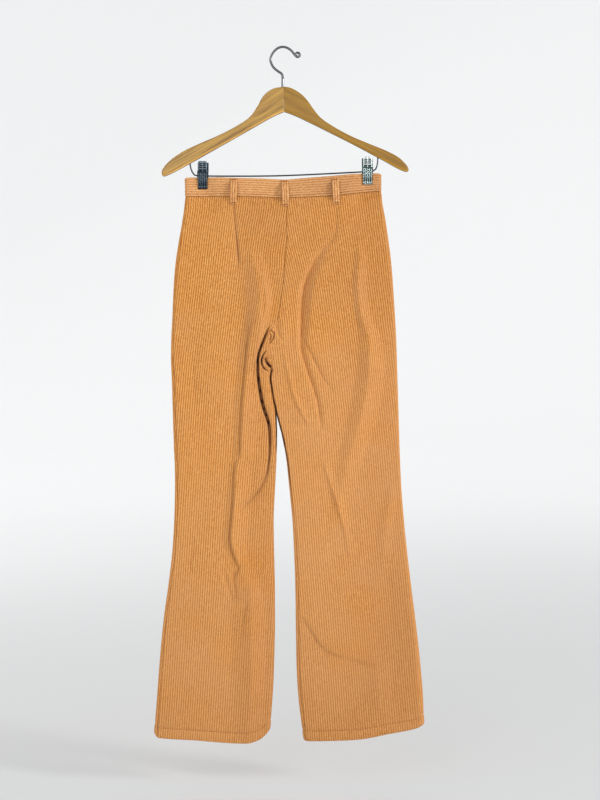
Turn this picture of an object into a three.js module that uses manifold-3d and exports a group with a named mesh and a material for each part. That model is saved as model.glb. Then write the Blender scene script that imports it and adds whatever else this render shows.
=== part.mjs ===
// Corduroy trousers hung by the waistband from a wooden clip hanger, seen from the back.
// Millimetres. +Z up, +X to the right of a viewer who faces the back of the garment, +Y away from
// that viewer. The origin is the inside of the hook's crown, where the hanger rests on its support.
// Left and right are that viewer's, which for a back view are the wearer's own too.
import * as THREE from "three";
import { mergeVertices } from "three/addons/utils/BufferGeometryUtils.js";
import Module from "manifold-3d";

const wasm = await Module();
wasm.setup();

// ---------------------------------------------------------------- driving sizes
const CLOTH = 1.6; // wide-wale corduroy, pile included
const SEAM = 0.36; // gap between pieces that are sewn together
const HEM_DEPTH = 18; // turned-up hem
const HEM_WALL = 2.8; // two layers at the hem
const BAND_WALL = 2.4; // waistband, two layers
const LOOP_WIDTH = 12;
const LOOP_WALL = 1.8;
const LOOP_LENGTH = 47;
const LOOP_REST = 0.5; // loop's sewn ends above the cloth
const OVERLAP_LOW = -16; // waistband overlap at the centre front, x
const OVERLAP_HIGH = 20;
const OUTSEAM_TURN = 5; // how far the side seams sit round from the silhouette
const INSEAM_TURN = 5;
const PLACKET_WIDTH = 36;
const PLACKET_LENGTH = 165;
const PLACKET_WALL = 1.4;
const BUTTON_R = 8.5;
const BUTTON_THICK = 3.2;
const CLIP_LEFT_X = -142.6;
const CLIP_RIGHT_X = 150.4;
const CLIP_WIDTH = 19.4;
const CLIP_HEIGHT = 48.8;
const CLIP_PLATE = 1.2;
const CLIP_LEFT_Z = -227.1; // mid height
const CLIP_RIGHT_Z = -219.2;
const PINCH_DEPTH = 2.95; // half thickness of the band in the clips
const PINCH_REACH = 19;
const HOOK_R = 1.95;
const BAR_R = 1.35;
const COIL_R = 1.98; // clip springs, wound on the bar
const COIL_WIRE = 0.35;
const ARM_THICK = 12;
const ARM_BEVEL = 1.5;
const JOINT_X = 1.8; // where the two arms meet

// ---------------------------------------------------------------- tables
// Silhouette and half depths of the hung garment, one row for each height.
// edge is the length over which the flattened tube rounds off at its folded sides.
const SECTIONS = [
  { z: -225, left: -175.6, right: 175.2, back: 9.5, front: 7.4, edge: 8 },
  { z: -252, left: -174.6, right: 175.3, back: 9.8, front: 7.4, edge: 8 },
  { z: -270, left: -174.8, right: 176.4, back: 10.4, front: 7.5, edge: 9 },
  { z: -306, left: -178.9, right: 182.5, back: 12.6, front: 8, edge: 14 },
  { z: -342, left: -185.1, right: 187.8, back: 15.5, front: 9, edge: 17 },
  { z: -377, left: -190.5, right: 192.2, back: 17.5, front: 9.8, edge: 19 },
  { z: -413, left: -194.0, right: 195.3, back: 18.6, front: 10.4, edge: 20 },
  { z: -448, left: -195.8, right: 197.6, back: 18.8, front: 11, edge: 20 },
  { z: -484, left: -197.2, right: 199.9, back: 18.2, front: 11.6, edge: 20 },
  { z: -520, left: -199.0, right: 201.7, back: 17, front: 12, edge: 20 },
  { z: -555, left: -199.4, right: 202.9, back: 16, front: 12, edge: 19 },
  { z: -591, left: -197.9, right: 204.0, back: 15, front: 12, edge: 19 },
  { z: -644, left: -196.4, right: 205.6, back: 13.8, front: 11.6, edge: 18 },
  { z: -698, left: -194.7, right: 207.2, back: 12.8, front: 11, edge: 17 },
  { z: -769, left: -192.3, right: 210.0, back: 11.8, front: 10.4, edge: 16 },
  { z: -840, left: -193.7, right: 215.4, back: 11.2, front: 10, edge: 15 },
  { z: -893, left: -196.9, right: 220.7, back: 11, front: 10, edge: 15 },
  { z: -947, left: -202.9, right: 227.0, back: 11, front: 10, edge: 15 },
  { z: -1018, left: -212.7, right: 235.9, back: 11.6, front: 10.4, edge: 16 },
  { z: -1089, left: -219.3, right: 243.9, back: 12.2, front: 10.8, edge: 16 },
  { z: -1160, left: -224.6, right: 249.6, back: 12.8, front: 11.2, edge: 17 },
  { z: -1217, left: -228.8, right: 251.2, back: 13.2, front: 11.6, edge: 17 },
  { z: -1240, left: -229.4, right: 251.4, back: 13.4, front: 11.8, edge: 17 },
];
// Centre seams of the seat and of the front, down to where the legs part.
const CENTRE = [
  { z: -262, back: 7.5, front: 2 },
  { z: -315, back: 6.8, front: 2 },
  { z: -342, back: 7.5, front: 1.5 },
  { z: -377, back: 3.7, front: 1 },
  { z: -411, back: 1.8, front: 0 },
  { z: -432, back: -1.4, front: -1.5 },
  { z: -456, back: -5, front: -4 },
  { z: -486, back: -10, front: -10 },
  { z: -499, back: -18.5, front: -18.5 },
  { z: -511, back: -25.5, front: -25.5 },
  { z: -530, back: -24, front: -24 },
  { z: -556, back: -19, front: -19 },
];
// Inner edges of the two legs. They touch down to the knee side of the thigh, then part.
const INNER = [
  { z: -556, left: -19, right: -19 },
  { z: -572, left: -20, right: -20 },
  { z: -588, left: -22.4, right: -22.4 },
  { z: -605, left: -20, right: -20 },
  { z: -626, left: -16.6, right: -16.6 },
  { z: -643, left: -13.4, right: -13 },
  { z: -665, left: -10.4, right: -8.9 },
  { z: -685, left: -9.8, right: -3.7 },
  { z: -710, left: -10.2, right: 1.6 },
  { z: -733, left: -11, right: 5.7 },
  { z: -769, left: -12.8, right: 9.6 },
  { z: -804, left: -14.6, right: 13 },
  { z: -840, left: -16, right: 16.4 },
  { z: -893, left: -15.2, right: 19.2 },
  { z: -947, left: -13.9, right: 21.4 },
  { z: -1018, left: -13.5, right: 22.4 },
  { z: -1089, left: -15, right: 23.6 },
  { z: -1125, left: -16.2, right: 25 },
  { z: -1160, left: -18.4, right: 27.6 },
  { z: -1196, left: -21.2, right: 32 },
  { z: -1240, left: -25, right: 38 },
];
// How far each leg has closed into its own tube between the seat and the leg (0 to 1).
const CROTCH = [
  { z: -504, closed: 0 },
  { z: -514, closed: 0.1 },
  { z: -526, closed: 0.3 },
  { z: -541, closed: 0.6 },
  { z: -556, closed: 1 },
];
// Top edge of the waistband and the seam below it.
const WAIST = [
  { x: -176, top: -232.4, seam: -264.7 },
  { x: -165, top: -230.8, seam: -264.7 },
  { x: -123, top: -230.9, seam: -264.7 },
  { x: -82, top: -232.3, seam: -264.9 },
  { x: -41, top: -233.3, seam: -266.3 },
  { x: 4, top: -235.3, seam: -268.0 },
  { x: 30, top: -233.2, seam: -267.0 },
  { x: 94, top: -228, seam: -263.6 },
  { x: 123, top: -225.2, seam: -260 },
  { x: 141, top: -224, seam: -257.6 },
  { x: 164, top: -223.2, seam: -255.8 },
  { x: 176, top: -224.6, seam: -255 },
];
// Lower edges of the hems.
const HEM_LEFT = [
  { x: -230, z: -1218 },
  { x: -221, z: -1226.4 },
  { x: -152, z: -1229.8 },
  { x: -133, z: -1231.4 },
  { x: -64, z: -1235.4 },
  { x: -43, z: -1229.8 },
  { x: -35, z: -1224.5 },
  { x: -23, z: -1212 },
];
const HEM_RIGHT = [
  { x: 36, z: -1230 },
  { x: 44, z: -1231.8 },
  { x: 85, z: -1230.6 },
  { x: 135, z: -1228 },
  { x: 154, z: -1225.2 },
  { x: 188, z: -1218.4 },
  { x: 221, z: -1212.8 },
  { x: 238, z: -1208.4 },
  { x: 251, z: -1202 },
];
// Creases and folds: depth is how far the cloth sinks (negative where it rises), wide its half width.
const FOLDS = [
  { name: "left_dart", face: "back", leg: -1, path: [
    { z: -270, x: -88, depth: 0.9, wide: 3.5 },
    { z: -322, x: -84.7, depth: 0.9, wide: 4 },
    { z: -372, x: -80, depth: 0, wide: 5 },
  ] },
  { name: "left_seat_fold", face: "back", leg: -1, path: [
    { z: -345, x: -66, depth: 0, wide: 13 },
    { z: -372, x: -60, depth: -1.6, wide: 13 },
    { z: -404, x: -50, depth: -4, wide: 14 },
    { z: -448, x: -43, depth: -5.4, wide: 14 },
    { z: -498, x: -43, depth: -5.2, wide: 13 },
    { z: -537, x: -52, depth: -4.4, wide: 12 },
    { z: -575, x: -61, depth: -4, wide: 12 },
    { z: -617, x: -66, depth: -3.6, wide: 12 },
    { z: -671, x: -71.5, depth: -3.2, wide: 12 },
    { z: -740, x: -79, depth: -2.6, wide: 12 },
    { z: -838, x: -85, depth: -2.4, wide: 13 },
    { z: -905, x: -80, depth: -2.8, wide: 11 },
    { z: -950, x: -80, depth: -2.2, wide: 13 },
    { z: -1080, x: -80, depth: -2, wide: 18 },
    { z: -1215, x: -90, depth: -0.8, wide: 20 },
  ] },
  { name: "left_inner_thigh_crease", face: "back", leg: -1, path: [
    { z: -494, x: -32, depth: 0, wide: 5 },
    { z: -514, x: -33.5, depth: 2.6, wide: 5 },
    { z: -526, x: -37.5, depth: 4.6, wide: 5 },
    { z: -541, x: -42, depth: 5.6, wide: 5 },
    { z: -556, x: -44.9, depth: 6, wide: 5 },
    { z: -575, x: -43.8, depth: 6, wide: 5 },
    { z: -599, x: -42, depth: 5.8, wide: 5 },
    { z: -623, x: -39.5, depth: 5, wide: 5 },
    { z: -643, x: -34, depth: 4.4, wide: 5 },
    { z: -663, x: -28.5, depth: 3.6, wide: 5 },
    { z: -684, x: -25, depth: 2.6, wide: 5 },
    { z: -712, x: -24, depth: 1.4, wide: 5 },
    { z: -745, x: -24.5, depth: 0, wide: 5 },
  ] },
  { name: "right_dart_and_diagonal_fold", face: "back", leg: 1, path: [
    { z: -284, x: 96, depth: 0, wide: 5 },
    { z: -322, x: 93.8, depth: 1, wide: 6 },
    { z: -342, x: 86, depth: 1.8, wide: 8 },
    { z: -365, x: 65, depth: 3, wide: 10 },
    { z: -398, x: 44.5, depth: 4.6, wide: 11 },
    { z: -431, x: 37, depth: 5.6, wide: 11 },
    { z: -463, x: 35.6, depth: 6, wide: 11 },
    { z: -502, x: 38.4, depth: 5, wide: 11 },
    { z: -532, x: 41, depth: 4, wide: 11 },
    { z: -562, x: 54, depth: 3, wide: 12 },
    { z: -600, x: 62, depth: 2.4, wide: 12 },
    { z: -667, x: 66, depth: 1.6, wide: 13 },
    { z: -800, x: 78, depth: 1.2, wide: 16 },
    { z: -1000, x: 90, depth: 1.4, wide: 20 },
    { z: -1215, x: 110, depth: 0.6, wide: 24 },
  ] },
  { name: "right_leg_slanting_fold", face: "back", leg: 1, path: [
    { z: -930, x: 44, depth: 0, wide: 12 },
    { z: -985, x: 64, depth: 1.6, wide: 14 },
    { z: -1040, x: 96, depth: 2, wide: 16 },
    { z: -1100, x: 136, depth: 1.2, wide: 18 },
    { z: -1155, x: 170, depth: 0, wide: 18 },
  ] },
  { name: "front_left_thigh_fold", face: "front", leg: -1, path: [
    { z: -400, x: -120, depth: 0, wide: 14 },
    { z: -480, x: -84, depth: 2, wide: 15 },
    { z: -560, x: -62, depth: 3, wide: 14 },
    { z: -640, x: -60, depth: 2.2, wide: 14 },
    { z: -760, x: -78, depth: 1.6, wide: 16 },
    { z: -900, x: -96, depth: 2.2, wide: 14 },
    { z: -1000, x: -104, depth: 1.2, wide: 18 },
    { z: -1180, x: -120, depth: 0, wide: 20 },
  ] },
  { name: "front_right_thigh_fold", face: "front", leg: 1, path: [
    { z: -420, x: 116, depth: 0, wide: 14 },
    { z: -500, x: 66, depth: 2.4, wide: 14 },
    { z: -560, x: 40, depth: 3, wide: 13 },
    { z: -640, x: 52, depth: 2, wide: 15 },
    { z: -780, x: 86, depth: 1.4, wide: 16 },
    { z: -920, x: 112, depth: 2.2, wide: 15 },
    { z: -1040, x: 124, depth: 1, wide: 20 },
    { z: -1180, x: 140, depth: 0, wide: 22 },
  ] },
];
// Heights of the panels' rows of points, waist seam first, hem last. Each panel is modelled in four zones, one
// above the other, because a piece as long as a leg would lose its hollow in the collision model.
const ZONES = {
  seat: [-265, -290, -320, -350, -385, -415, -448, -480],
  thigh: [-480, -495, -511, -530, -556, -580, -605, -640, -675, -712, -745],
  knee: [-745, -790, -840, -905, -934, -985],
  calf: [-985, -1060, -1135, -1209, -1212, -1228],
};
const ZONE_GAP = 0.3;
const HEM_NOMINAL = -1228;
const HEM_FADE = 120; // height over which rows turn from level to the slant of the hem
const WAIST_NOMINAL = -265;
const WAIST_FADE = 60;

// Wooden arm outlines, upper edge from the middle outwards, then the lower edge back.
const ARM_LEFT = [
  { x: 1.8, z: -69.4 }, { x: -14.1, z: -71.6 }, { x: -24.2, z: -76.2 }, { x: -35.6, z: -86 }, { x: -46.8, z: -105.7 },
  { x: -60.5, z: -124 }, { x: -84.2, z: -140 }, { x: -118.4, z: -157.5 }, { x: -152.4, z: -172.1 },
  { x: -179.6, z: -185.2 }, { x: -200.1, z: -199.6 }, { x: -211, z: -211 }, { x: -215.8, z: -220 }, { x: -213.6, z: -228.2 },
  { x: -203.5, z: -225.6 }, { x: -166.1, z: -206.1 }, { x: -118.4, z: -179.4 }, { x: -84.2, z: -160.1 },
  { x: -50.2, z: -140.6 }, { x: -16.2, z: -121.6 }, { x: 1.8, z: -113.6 },
];
const ARM_RIGHT = [
  { x: 1.8, z: -113.6 }, { x: 18, z: -119.3 }, { x: 52, z: -135.2 }, { x: 86, z: -152.2 }, { x: 120, z: -169.2 },
  { x: 167.7, z: -194.4 }, { x: 217.2, z: -219.9 }, { x: 223.2, z: -219.2 }, { x: 222, z: -212 }, { x: 214, z: -202.4 },
  { x: 205.2, z: -194.6 }, { x: 184.8, z: -183.6 }, { x: 154.1, z: -171 }, { x: 120, z: -156.4 }, { x: 92.7, z: -141.8 },
  { x: 67.3, z: -124.4 }, { x: 52, z: -105.7 }, { x: 47.2, z: -98.6 }, { x: 37, z: -86.3 }, { x: 23.7, z: -76.2 },
  { x: 11.4, z: -70.6 }, { x: 1.8, z: -69.4 },
];
const HOOK_PATH = [
  { x: -0.5, z: -93 }, { x: -0.5, z: -70 }, { x: -0.5, z: -53 }, { x: -2.2, z: -46.2 }, { x: -8.9, z: -41.3 },
  { x: -16.2, z: -35.2 }, { x: -20.6, z: -28.1 }, { x: -22.3, z: -20.4 }, { x: -20.3, z: -12.4 }, { x: -15.1, z: -5 },
  { x: -8, z: 0.4 }, { x: 0, z: 2.1 }, { x: 7.6, z: 0.3 }, { x: 14.6, z: -4.4 }, { x: 20.4, z: -10.6 },
  { x: 24.4, z: -15 }, { x: 28.2, z: -15.6 }, { x: 30, z: -12.2 }, { x: 28.4, z: -9 },
];
const BAR_PATH = [
  { x: -165.4, z: -195 }, { x: -165.4, z: -206 }, { x: -164.7, z: -211.5 }, { x: -162, z: -219.6 }, { x: -158, z: -225.6 }, { x: -152.4, z: -227.6 },
  { x: -131.9, z: -227.8 }, { x: -9.4, z: -227.3 }, { x: 137, z: -220.6 }, { x: 152, z: -219.7 }, { x: 159.6, z: -219.1 },
  { x: 163.4, z: -217.4 }, { x: 166.2, z: -213.4 }, { x: 167.7, z: -208 }, { x: 168.7, z: -201 },
  { x: 168.8, z: -194 }, { x: 168.8, z: -184 },
];

// ---------------------------------------------------------------- curves through tables
// Monotone cubic through a table's rows: no overshoot between them.
function curve(table, key, value) {
  const rows = [...table].sort((a, b) => a[key] - b[key]);
  const xs = rows.map((r) => r[key]);
  const ys = rows.map((r) => r[value]);
  const slope = xs.slice(1).map((x, i) => (ys[i + 1] - ys[i]) / (x - xs[i]));
  const m = xs.map((_, i) => {
    if (i === 0) return slope[0];
    if (i === xs.length - 1) return slope[i - 1];
    return slope[i - 1] * slope[i] <= 0 ? 0 : (2 * slope[i - 1] * slope[i]) / (slope[i - 1] + slope[i]);
  });
  return (x) => {
    if (x <= xs[0]) return ys[0];
    if (x >= xs[xs.length - 1]) return ys[ys.length - 1];
    let i = 0;
    while (x > xs[i + 1]) i += 1;
    const h = xs[i + 1] - xs[i];
    const t = (x - xs[i]) / h;
    return (
      (1 + 2 * t) * (1 - t) ** 2 * ys[i] + t * (1 - t) ** 2 * h * m[i] +
      t * t * (3 - 2 * t) * ys[i + 1] + t * t * (t - 1) * h * m[i + 1]
    );
  };
}
const clamp = (v, a, b) => Math.min(b, Math.max(a, v));
const smooth = (v) => { const t = clamp(v, 0, 1); return t * t * (3 - 2 * t); };
const mix = (a, b, t) => a + (b - a) * t;

const leftOuter = curve(SECTIONS, "z", "left");
const rightOuter = curve(SECTIONS, "z", "right");
const depthBack = curve(SECTIONS, "z", "back");
const depthFront = curve(SECTIONS, "z", "front");
const edgeLength = curve(SECTIONS, "z", "edge");
const centreBack = curve(CENTRE, "z", "back");
const centreFront = curve(CENTRE, "z", "front");
const innerLeft = curve(INNER, "z", "left");
const innerRight = curve(INNER, "z", "right");
const bandTop = curve(WAIST, "x", "top");
const bandSeam = curve(WAIST, "x", "seam");
const hemLeft = curve(HEM_LEFT, "x", "z");
const hemRight = curve(HEM_RIGHT, "x", "z");
const folds = FOLDS.map((f) => ({
  ...f,
  x: curve(f.path, "z", "x"),
  depth: curve(f.path, "z", "depth"),
  wide: curve(f.path, "z", "wide"),
  top: f.path[0].z,
  bottom: f.path[f.path.length - 1].z,
}));
const foldLine = (name) => folds.find((f) => f.name === name).x;
function closed(z) {
  const rows = CROTCH;
  if (z >= rows[0].z) return 0;
  if (z <= rows[rows.length - 1].z) return 1;
  const i = rows.findIndex((r) => r.z <= z);
  const t = (rows[i - 1].z - z) / (rows[i - 1].z - rows[i].z);
  return mix(rows[i - 1].closed, rows[i].closed, t);
}

// ---------------------------------------------------------------- the garment's outer skin
// leg is -1 on the left and 1 on the right.
const outerX = (leg, z) => (leg < 0 ? leftOuter(z) : rightOuter(z));
function innerX(leg, face, z) {
  const last = CENTRE[CENTRE.length - 1].z;
  const x = z > last ? (face === "back" ? centreBack(z) : centreFront(z)) : leg < 0 ? innerLeft(z) : innerRight(z);
  return x + leg * (z > last ? 0.03 : 0.22);
}
// Elliptical rounding towards a folded side: 0 at the side, 1 at the end of the rounded stretch.
const round = (d, length) => (d >= length ? 1 : Math.sqrt(Math.max(0, 1 - (1 - d / length) ** 2)));
function skinY(leg, face, x, z) {
  const xo = outerX(leg, z);
  const xi = innerX(leg, face, z);
  const edge = edgeLength(z);
  const k = closed(z);
  const away = Math.abs(x - xo);
  const half = Math.abs(xo - xi);
  const crown = 1 - 0.22 * (1 - smooth(away / (0.75 * half)));
  const inner = 1 - k + k * round(Math.abs(x - xi), Math.min(edge, 26));
  let depth = (face === "back" ? depthBack(z) : depthFront(z)) * round(away, edge) * crown * inner;
  // the clips press the band flat, and the cloth below them spreads again
  const clip = leg < 0 ? CLIP_LEFT_X : CLIP_RIGHT_X;
  const fade = 1 - smooth((-268 - z) / 90);
  const pinch = Math.exp(-(((x - clip) / PINCH_REACH) ** 4)) * fade;
  if (pinch > 0) depth = mix(depth, Math.min(depth, PINCH_DEPTH), pinch);
  for (const f of folds) {
    if (f.leg !== leg || f.face !== face || z > f.top || z < f.bottom) continue;
    const w = f.wide(z);
    depth -= f.depth(z) * Math.exp(-(((x - f.x(z)) / w) ** 2)) * inner * round(away, edge);
  }
  return face === "back" ? -depth : depth;
}
// Height of a row at x: level in the middle of the garment, along the waist seam and the hem at its ends.
function rowZ(nominal, x, leg) {
  const top = 1 - smooth((WAIST_NOMINAL - nominal) / WAIST_FADE);
  const low = 1 - smooth((nominal - HEM_NOMINAL) / HEM_FADE);
  const hem = leg < 0 ? hemLeft(x) : hemRight(x);
  return nominal + top * (bandSeam(x) - SEAM - WAIST_NOMINAL) + low * (hem - HEM_NOMINAL);
}
// A point of the skin, counted from a folded side: r is the distance in x, negative on the back.
function skinPoint(leg, end, r, nominal, face) {
  const side = r < 0 ? "back" : r > 0 ? "front" : face;
  let z = nominal;
  let x = 0;
  for (let i = 0; i < 5; i += 1) {
    x = end === "outer" ? outerX(leg, z) - leg * Math.abs(r) : innerX(leg, side, z) + leg * Math.abs(r);
    z = rowZ(nominal, x, leg);
  }
  return new THREE.Vector3(x, skinY(leg, side, x, z), z);
}
// Unit vectors at a point: along the row, and out of the cloth.
function skinFrame(leg, column, nominal, face) {
  const { end, r } = column;
  const h = 0.35;
  const open = end === "inner" && closed(nominal) < 1;
  const sign = face === "back" ? -1 : 1;
  const a = open && Math.abs(r) < h ? Math.abs(r) * sign : r - h;
  const b = open && Math.abs(r) < h ? (Math.abs(r) + h) * sign : r + h;
  const along = skinPoint(leg, end, Math.max(a, b), nominal, face).sub(skinPoint(leg, end, Math.min(a, b), nominal, face));
  const up = skinPoint(leg, end, r, nominal + 2, face).sub(skinPoint(leg, end, r, nominal - 2, face));
  // along runs from the back to the front round the side
  const out = new THREE.Vector3().crossVectors(along, up).normalize();
  const side = end === "outer" ? leg : -leg;
  if (side < 0) out.negate();
  return { along: along.normalize(), out };
}

// ---------------------------------------------------------------- solids from sheets
function geometryOf(points, faces) {
  let volume = 0;
  for (const [a, b, c] of faces) volume += points[a].dot(new THREE.Vector3().crossVectors(points[b], points[c]));
  const index = volume < 0 ? faces.map(([a, b, c]) => [a, c, b]).flat() : faces.flat();
  const g = new THREE.BufferGeometry();
  g.setAttribute("position", new THREE.Float32BufferAttribute(points.flatMap((p) => [p.x, p.y, p.z]), 3));
  g.setIndex(index);
  return g;
}
// A closed wall between two sheets of points of the same rows and columns.
function wall(outer, inner) {
  const points = [];
  const put = (sheet) => sheet.map((row) => row.map((p) => points.push(p) - 1));
  const A = put(outer);
  const B = put(inner);
  const faces = [];
  const quad = (a, b, c, d) => {
    if (points[a].distanceTo(points[c]) <= points[b].distanceTo(points[d])) faces.push([a, b, c], [a, c, d]);
    else faces.push([a, b, d], [b, c, d]);
  };
  const rows = A.length;
  const cols = A[0].length;
  for (let i = 0; i < rows - 1; i += 1) {
    for (let j = 0; j < cols - 1; j += 1) {
      quad(A[i][j], A[i][j + 1], A[i + 1][j + 1], A[i + 1][j]);
      quad(B[i][j], B[i + 1][j], B[i + 1][j + 1], B[i][j + 1]);
    }
    quad(A[i][0], A[i + 1][0], B[i + 1][0], B[i][0]);
    quad(A[i + 1][cols - 1], A[i][cols - 1], B[i][cols - 1], B[i + 1][cols - 1]);
  }
  for (let j = 0; j < cols - 1; j += 1) {
    quad(A[0][j + 1], A[0][j], B[0][j], B[0][j + 1]);
    quad(A[rows - 1][j], A[rows - 1][j + 1], B[rows - 1][j + 1], B[rows - 1][j]);
  }
  return geometryOf(points, faces);
}

// ---------------------------------------------------------------- panels
// Columns of a panel at one height, from the inner edge to the outer edge, as distances from a side.
function panelColumns(leg, face, z) {
  const sign = face === "back" ? -1 : 1;
  const xo = outerX(leg, z);
  const xi = innerX(leg, face, z);
  const fromInner = (x) => ({ end: "inner", r: sign * Math.abs(x - xi) });
  const fromOuter = (x) => ({ end: "outer", r: sign * Math.abs(x - xo) });
  const inTurn = leg > 0 ? INSEAM_TURN * smooth((-720 - z) / 180) : 0; // the right inseam sits on the back
  const outTurn = leg < 0 ? -OUTSEAM_TURN : OUTSEAM_TURN; // left side seam on the back, right one on the front
  const columns = [];
  if (face === "back") {
    const lines = leg < 0
      ? { near: foldLine("left_inner_thigh_crease")(z), far: foldLine("left_seat_fold")(z) }
      : { near: xi + 16, far: foldLine("right_dart_and_diagonal_fold")(z) };
    const near = Math.max(3, Math.abs(lines.near - xi));
    for (const t of leg < 0 ? [0, 0.05, 0.22, 0.55, 0.8] : [0, 0.07, 0.36]) columns.push({ end: "inner", r: -(inTurn + (near - inTurn) * t) });
    columns.push(fromInner(xi + leg * near));
    const a = xi + leg * near;
    const gap = Math.abs(lines.far - a);
    for (const t of [0.12, 0.5]) columns.push(fromInner(a + leg * gap * t));
    columns.push(fromInner(lines.far - leg * Math.min(9, gap * 0.3)), fromOuter(lines.far), fromOuter(lines.far + leg * 10));
    const rest = Math.abs(xo - lines.far) - 10;
    for (const t of [0.34, 0.66, 0.87, 0.97]) columns.push(fromOuter(lines.far + leg * (10 + rest * t)));
    if (leg < 0) columns.push({ end: "outer", r: outTurn });
    else columns.push({ end: "outer", r: -1.2 }, { end: "outer", r: 0 }, { end: "outer", r: 1.4 }, { end: "outer", r: outTurn });
    if (leg < 0) columns.splice(columns.length - 2, 1);
  } else {
    const span = Math.abs(xo - xi);
    const start = -inTurn;
    const lead = 14;
    for (const t of leg > 0 ? [0, 0.2, 0.36, 0.55, 0.78] : [0, 0.1, 0.4, 0.7]) {
      let r = start + (lead - start) * t;
      if (leg > 0 && t === 0.2) r = mix(0.6, -1.2, inTurn / INSEAM_TURN);
      if (leg > 0 && t === 0.36) r = mix(1.6, 0.5, inTurn / INSEAM_TURN);
      columns.push({ end: "inner", r });
    }
    for (const t of [0.1, 0.24, 0.42, 0.6, 0.78, 0.9]) columns.push(fromInner(xi + leg * span * t));
    if (leg > 0) columns.push({ end: "outer", r: 11 }, { end: "outer", r: outTurn });
    else columns.push({ end: "outer", r: 7 }, { end: "outer", r: 1.4 }, { end: "outer", r: 0 }, { end: "outer", r: -1.2 }, { end: "outer", r: outTurn });
  }
  return columns;
}
function panel(leg, face, zone) {
  const outer = [];
  const inner = [];
  const rows = [...ZONES[zone]];
  if (zone !== "seat") rows[0] -= ZONE_GAP / 2;
  if (zone !== "calf") rows[rows.length - 1] += ZONE_GAP / 2;
  rows.forEach((nominal) => {
    const columns = panelColumns(leg, face, nominal);
    const thick = nominal < HEM_NOMINAL + HEM_DEPTH - 1 ? HEM_WALL : CLOTH;
    const outerRow = [];
    const innerRow = [];
    columns.forEach((c, j) => {
      const p = skinPoint(leg, c.end, c.r, nominal, face);
      const { along, out } = skinFrame(leg, c, nominal, face);
      if (j === 0 || j === columns.length - 1) {
        const q = columns[j === 0 ? 1 : j - 1];
        const towards = skinPoint(leg, q.end, q.r, nominal, face).sub(p);
        p.addScaledVector(along, Math.sign(towards.dot(along)) * SEAM / 2);
      }
      outerRow.push(p);
      innerRow.push(p.clone().addScaledVector(out, -thick));
    });
    outer.push(outerRow);
    inner.push(innerRow);
  });
  return wall(outer, inner);
}

// ---------------------------------------------------------------- waistband
function waistband() {
  const edges = [0, 0.5, 1.8, 4, 8];
  const list = [];
  const half = (leg, face, from) => {
    const clip = leg < 0 ? CLIP_LEFT_X : CLIP_RIGHT_X;
    const xs = [from, mix(from, clip, 0.25), mix(from, clip, 0.5), mix(from, clip, 0.72), clip - leg * 24, clip - leg * 18,
      clip - leg * 10, clip, clip + leg * 10, clip + leg * 17];
    return xs.map((x) => ({ leg, face, x }));
  };
  const side = (leg, face) => edges.map((d) => ({ leg, face, d })).reverse();
  const shift = (items) => items.filter((c) => c.x === undefined || true);
  list.push(...[OVERLAP_LOW, 2, OVERLAP_HIGH].map((x) => ({ leg: x < 2 ? -1 : 1, face: "front", x })));
  list.push(...shift(half(1, "front", OVERLAP_HIGH + 14)), ...side(1, "front"));
  list.push(...side(1, "back").reverse().slice(1), ...half(1, "back", 12).reverse(), { leg: 1, face: "back", x: 2 });
  list.push(...half(-1, "back", -8), ...side(-1, "back"));
  list.push(...side(-1, "front").reverse().slice(1), ...half(-1, "front", OVERLAP_LOW - 14).reverse());
  list.push(...[OVERLAP_LOW, 2, OVERLAP_HIGH].map((x) => ({ leg: x < 2 ? -1 : 1, face: "front", x, over: true })));
  // joined behind the centre loop and at the sides, 4 mm round from the folds as the side seams are
  const joins = list.map((c, j) => ((c.d === 4 && ((c.leg > 0 && c.face === "front") || (c.leg < 0 && c.face === "back"))) ||
    (c.face === "back" && c.x === 2) ? j : -1)).filter((j) => j > 0);
  const levels = [0, 0.5, 1];
  const place = (c, t, dx = 0) => {
    let z = -245;
    let x = 0;
    for (let i = 0; i < 5; i += 1) {
      x = c.d === undefined ? c.x + dx : outerX(c.leg, z) - c.leg * c.d;
      z = mix(bandTop(x), bandSeam(x) + SEAM * 0.4, t);
    }
    const y = skinY(c.leg, c.face, x, Math.max(z, -262));
    return new THREE.Vector3(x, y, z);
  };
  const outer = levels.map(() => []);
  const inner = levels.map(() => []);
  list.forEach((c, j) => {
    levels.forEach((t, i) => {
      const p = place(c, t);
      let out;
      if (c.d !== undefined && c.d < 6) {
        const before = place(list[j - 1], t);
        const after = place(list[j + 1], t);
        const n = after.sub(before).normalize();
        out = new THREE.Vector3(-n.y, n.x, 0);
        if (out.x * c.leg < 0 && Math.abs(out.x) > 0.05) out.negate();
        if (c.d === 0) out.set(c.leg, 0, 0);
      } else {
        const a = place({ ...c, d: undefined, x: p.x }, t, 0.4);
        const b = place({ ...c, d: undefined, x: p.x }, t, -0.4);
        const n = a.sub(b).normalize();
        out = new THREE.Vector3(-n.y, n.x, 0);
        if ((c.face === "back") === (out.y > 0)) out.negate();
      }
      if (c.over) p.y += BAND_WALL + 0.45;
      outer[i].push(p);
      inner[i].push(p.clone().addScaledVector(out.normalize(), -BAND_WALL));
    });
  });
  const ends = [0, ...joins, list.length - 1];
  return ends.slice(1).map((to, k) => {
    const from = ends[k];
    const part = [outer, inner].map((sheet) => sheet.map((row) => {
      const points = row.slice(from, to + 1).map((p) => p.clone());
      const n = points.length;
      const pull = (i, j) => points[i].add(points[j].clone().sub(points[i]).setLength(SEAM / 2));
      if (from > 0) pull(0, 1);
      if (to < list.length - 1) pull(n - 1, n - 2);
      return points;
    }));
    return wall(part[0], part[1]);
  });
}

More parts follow.
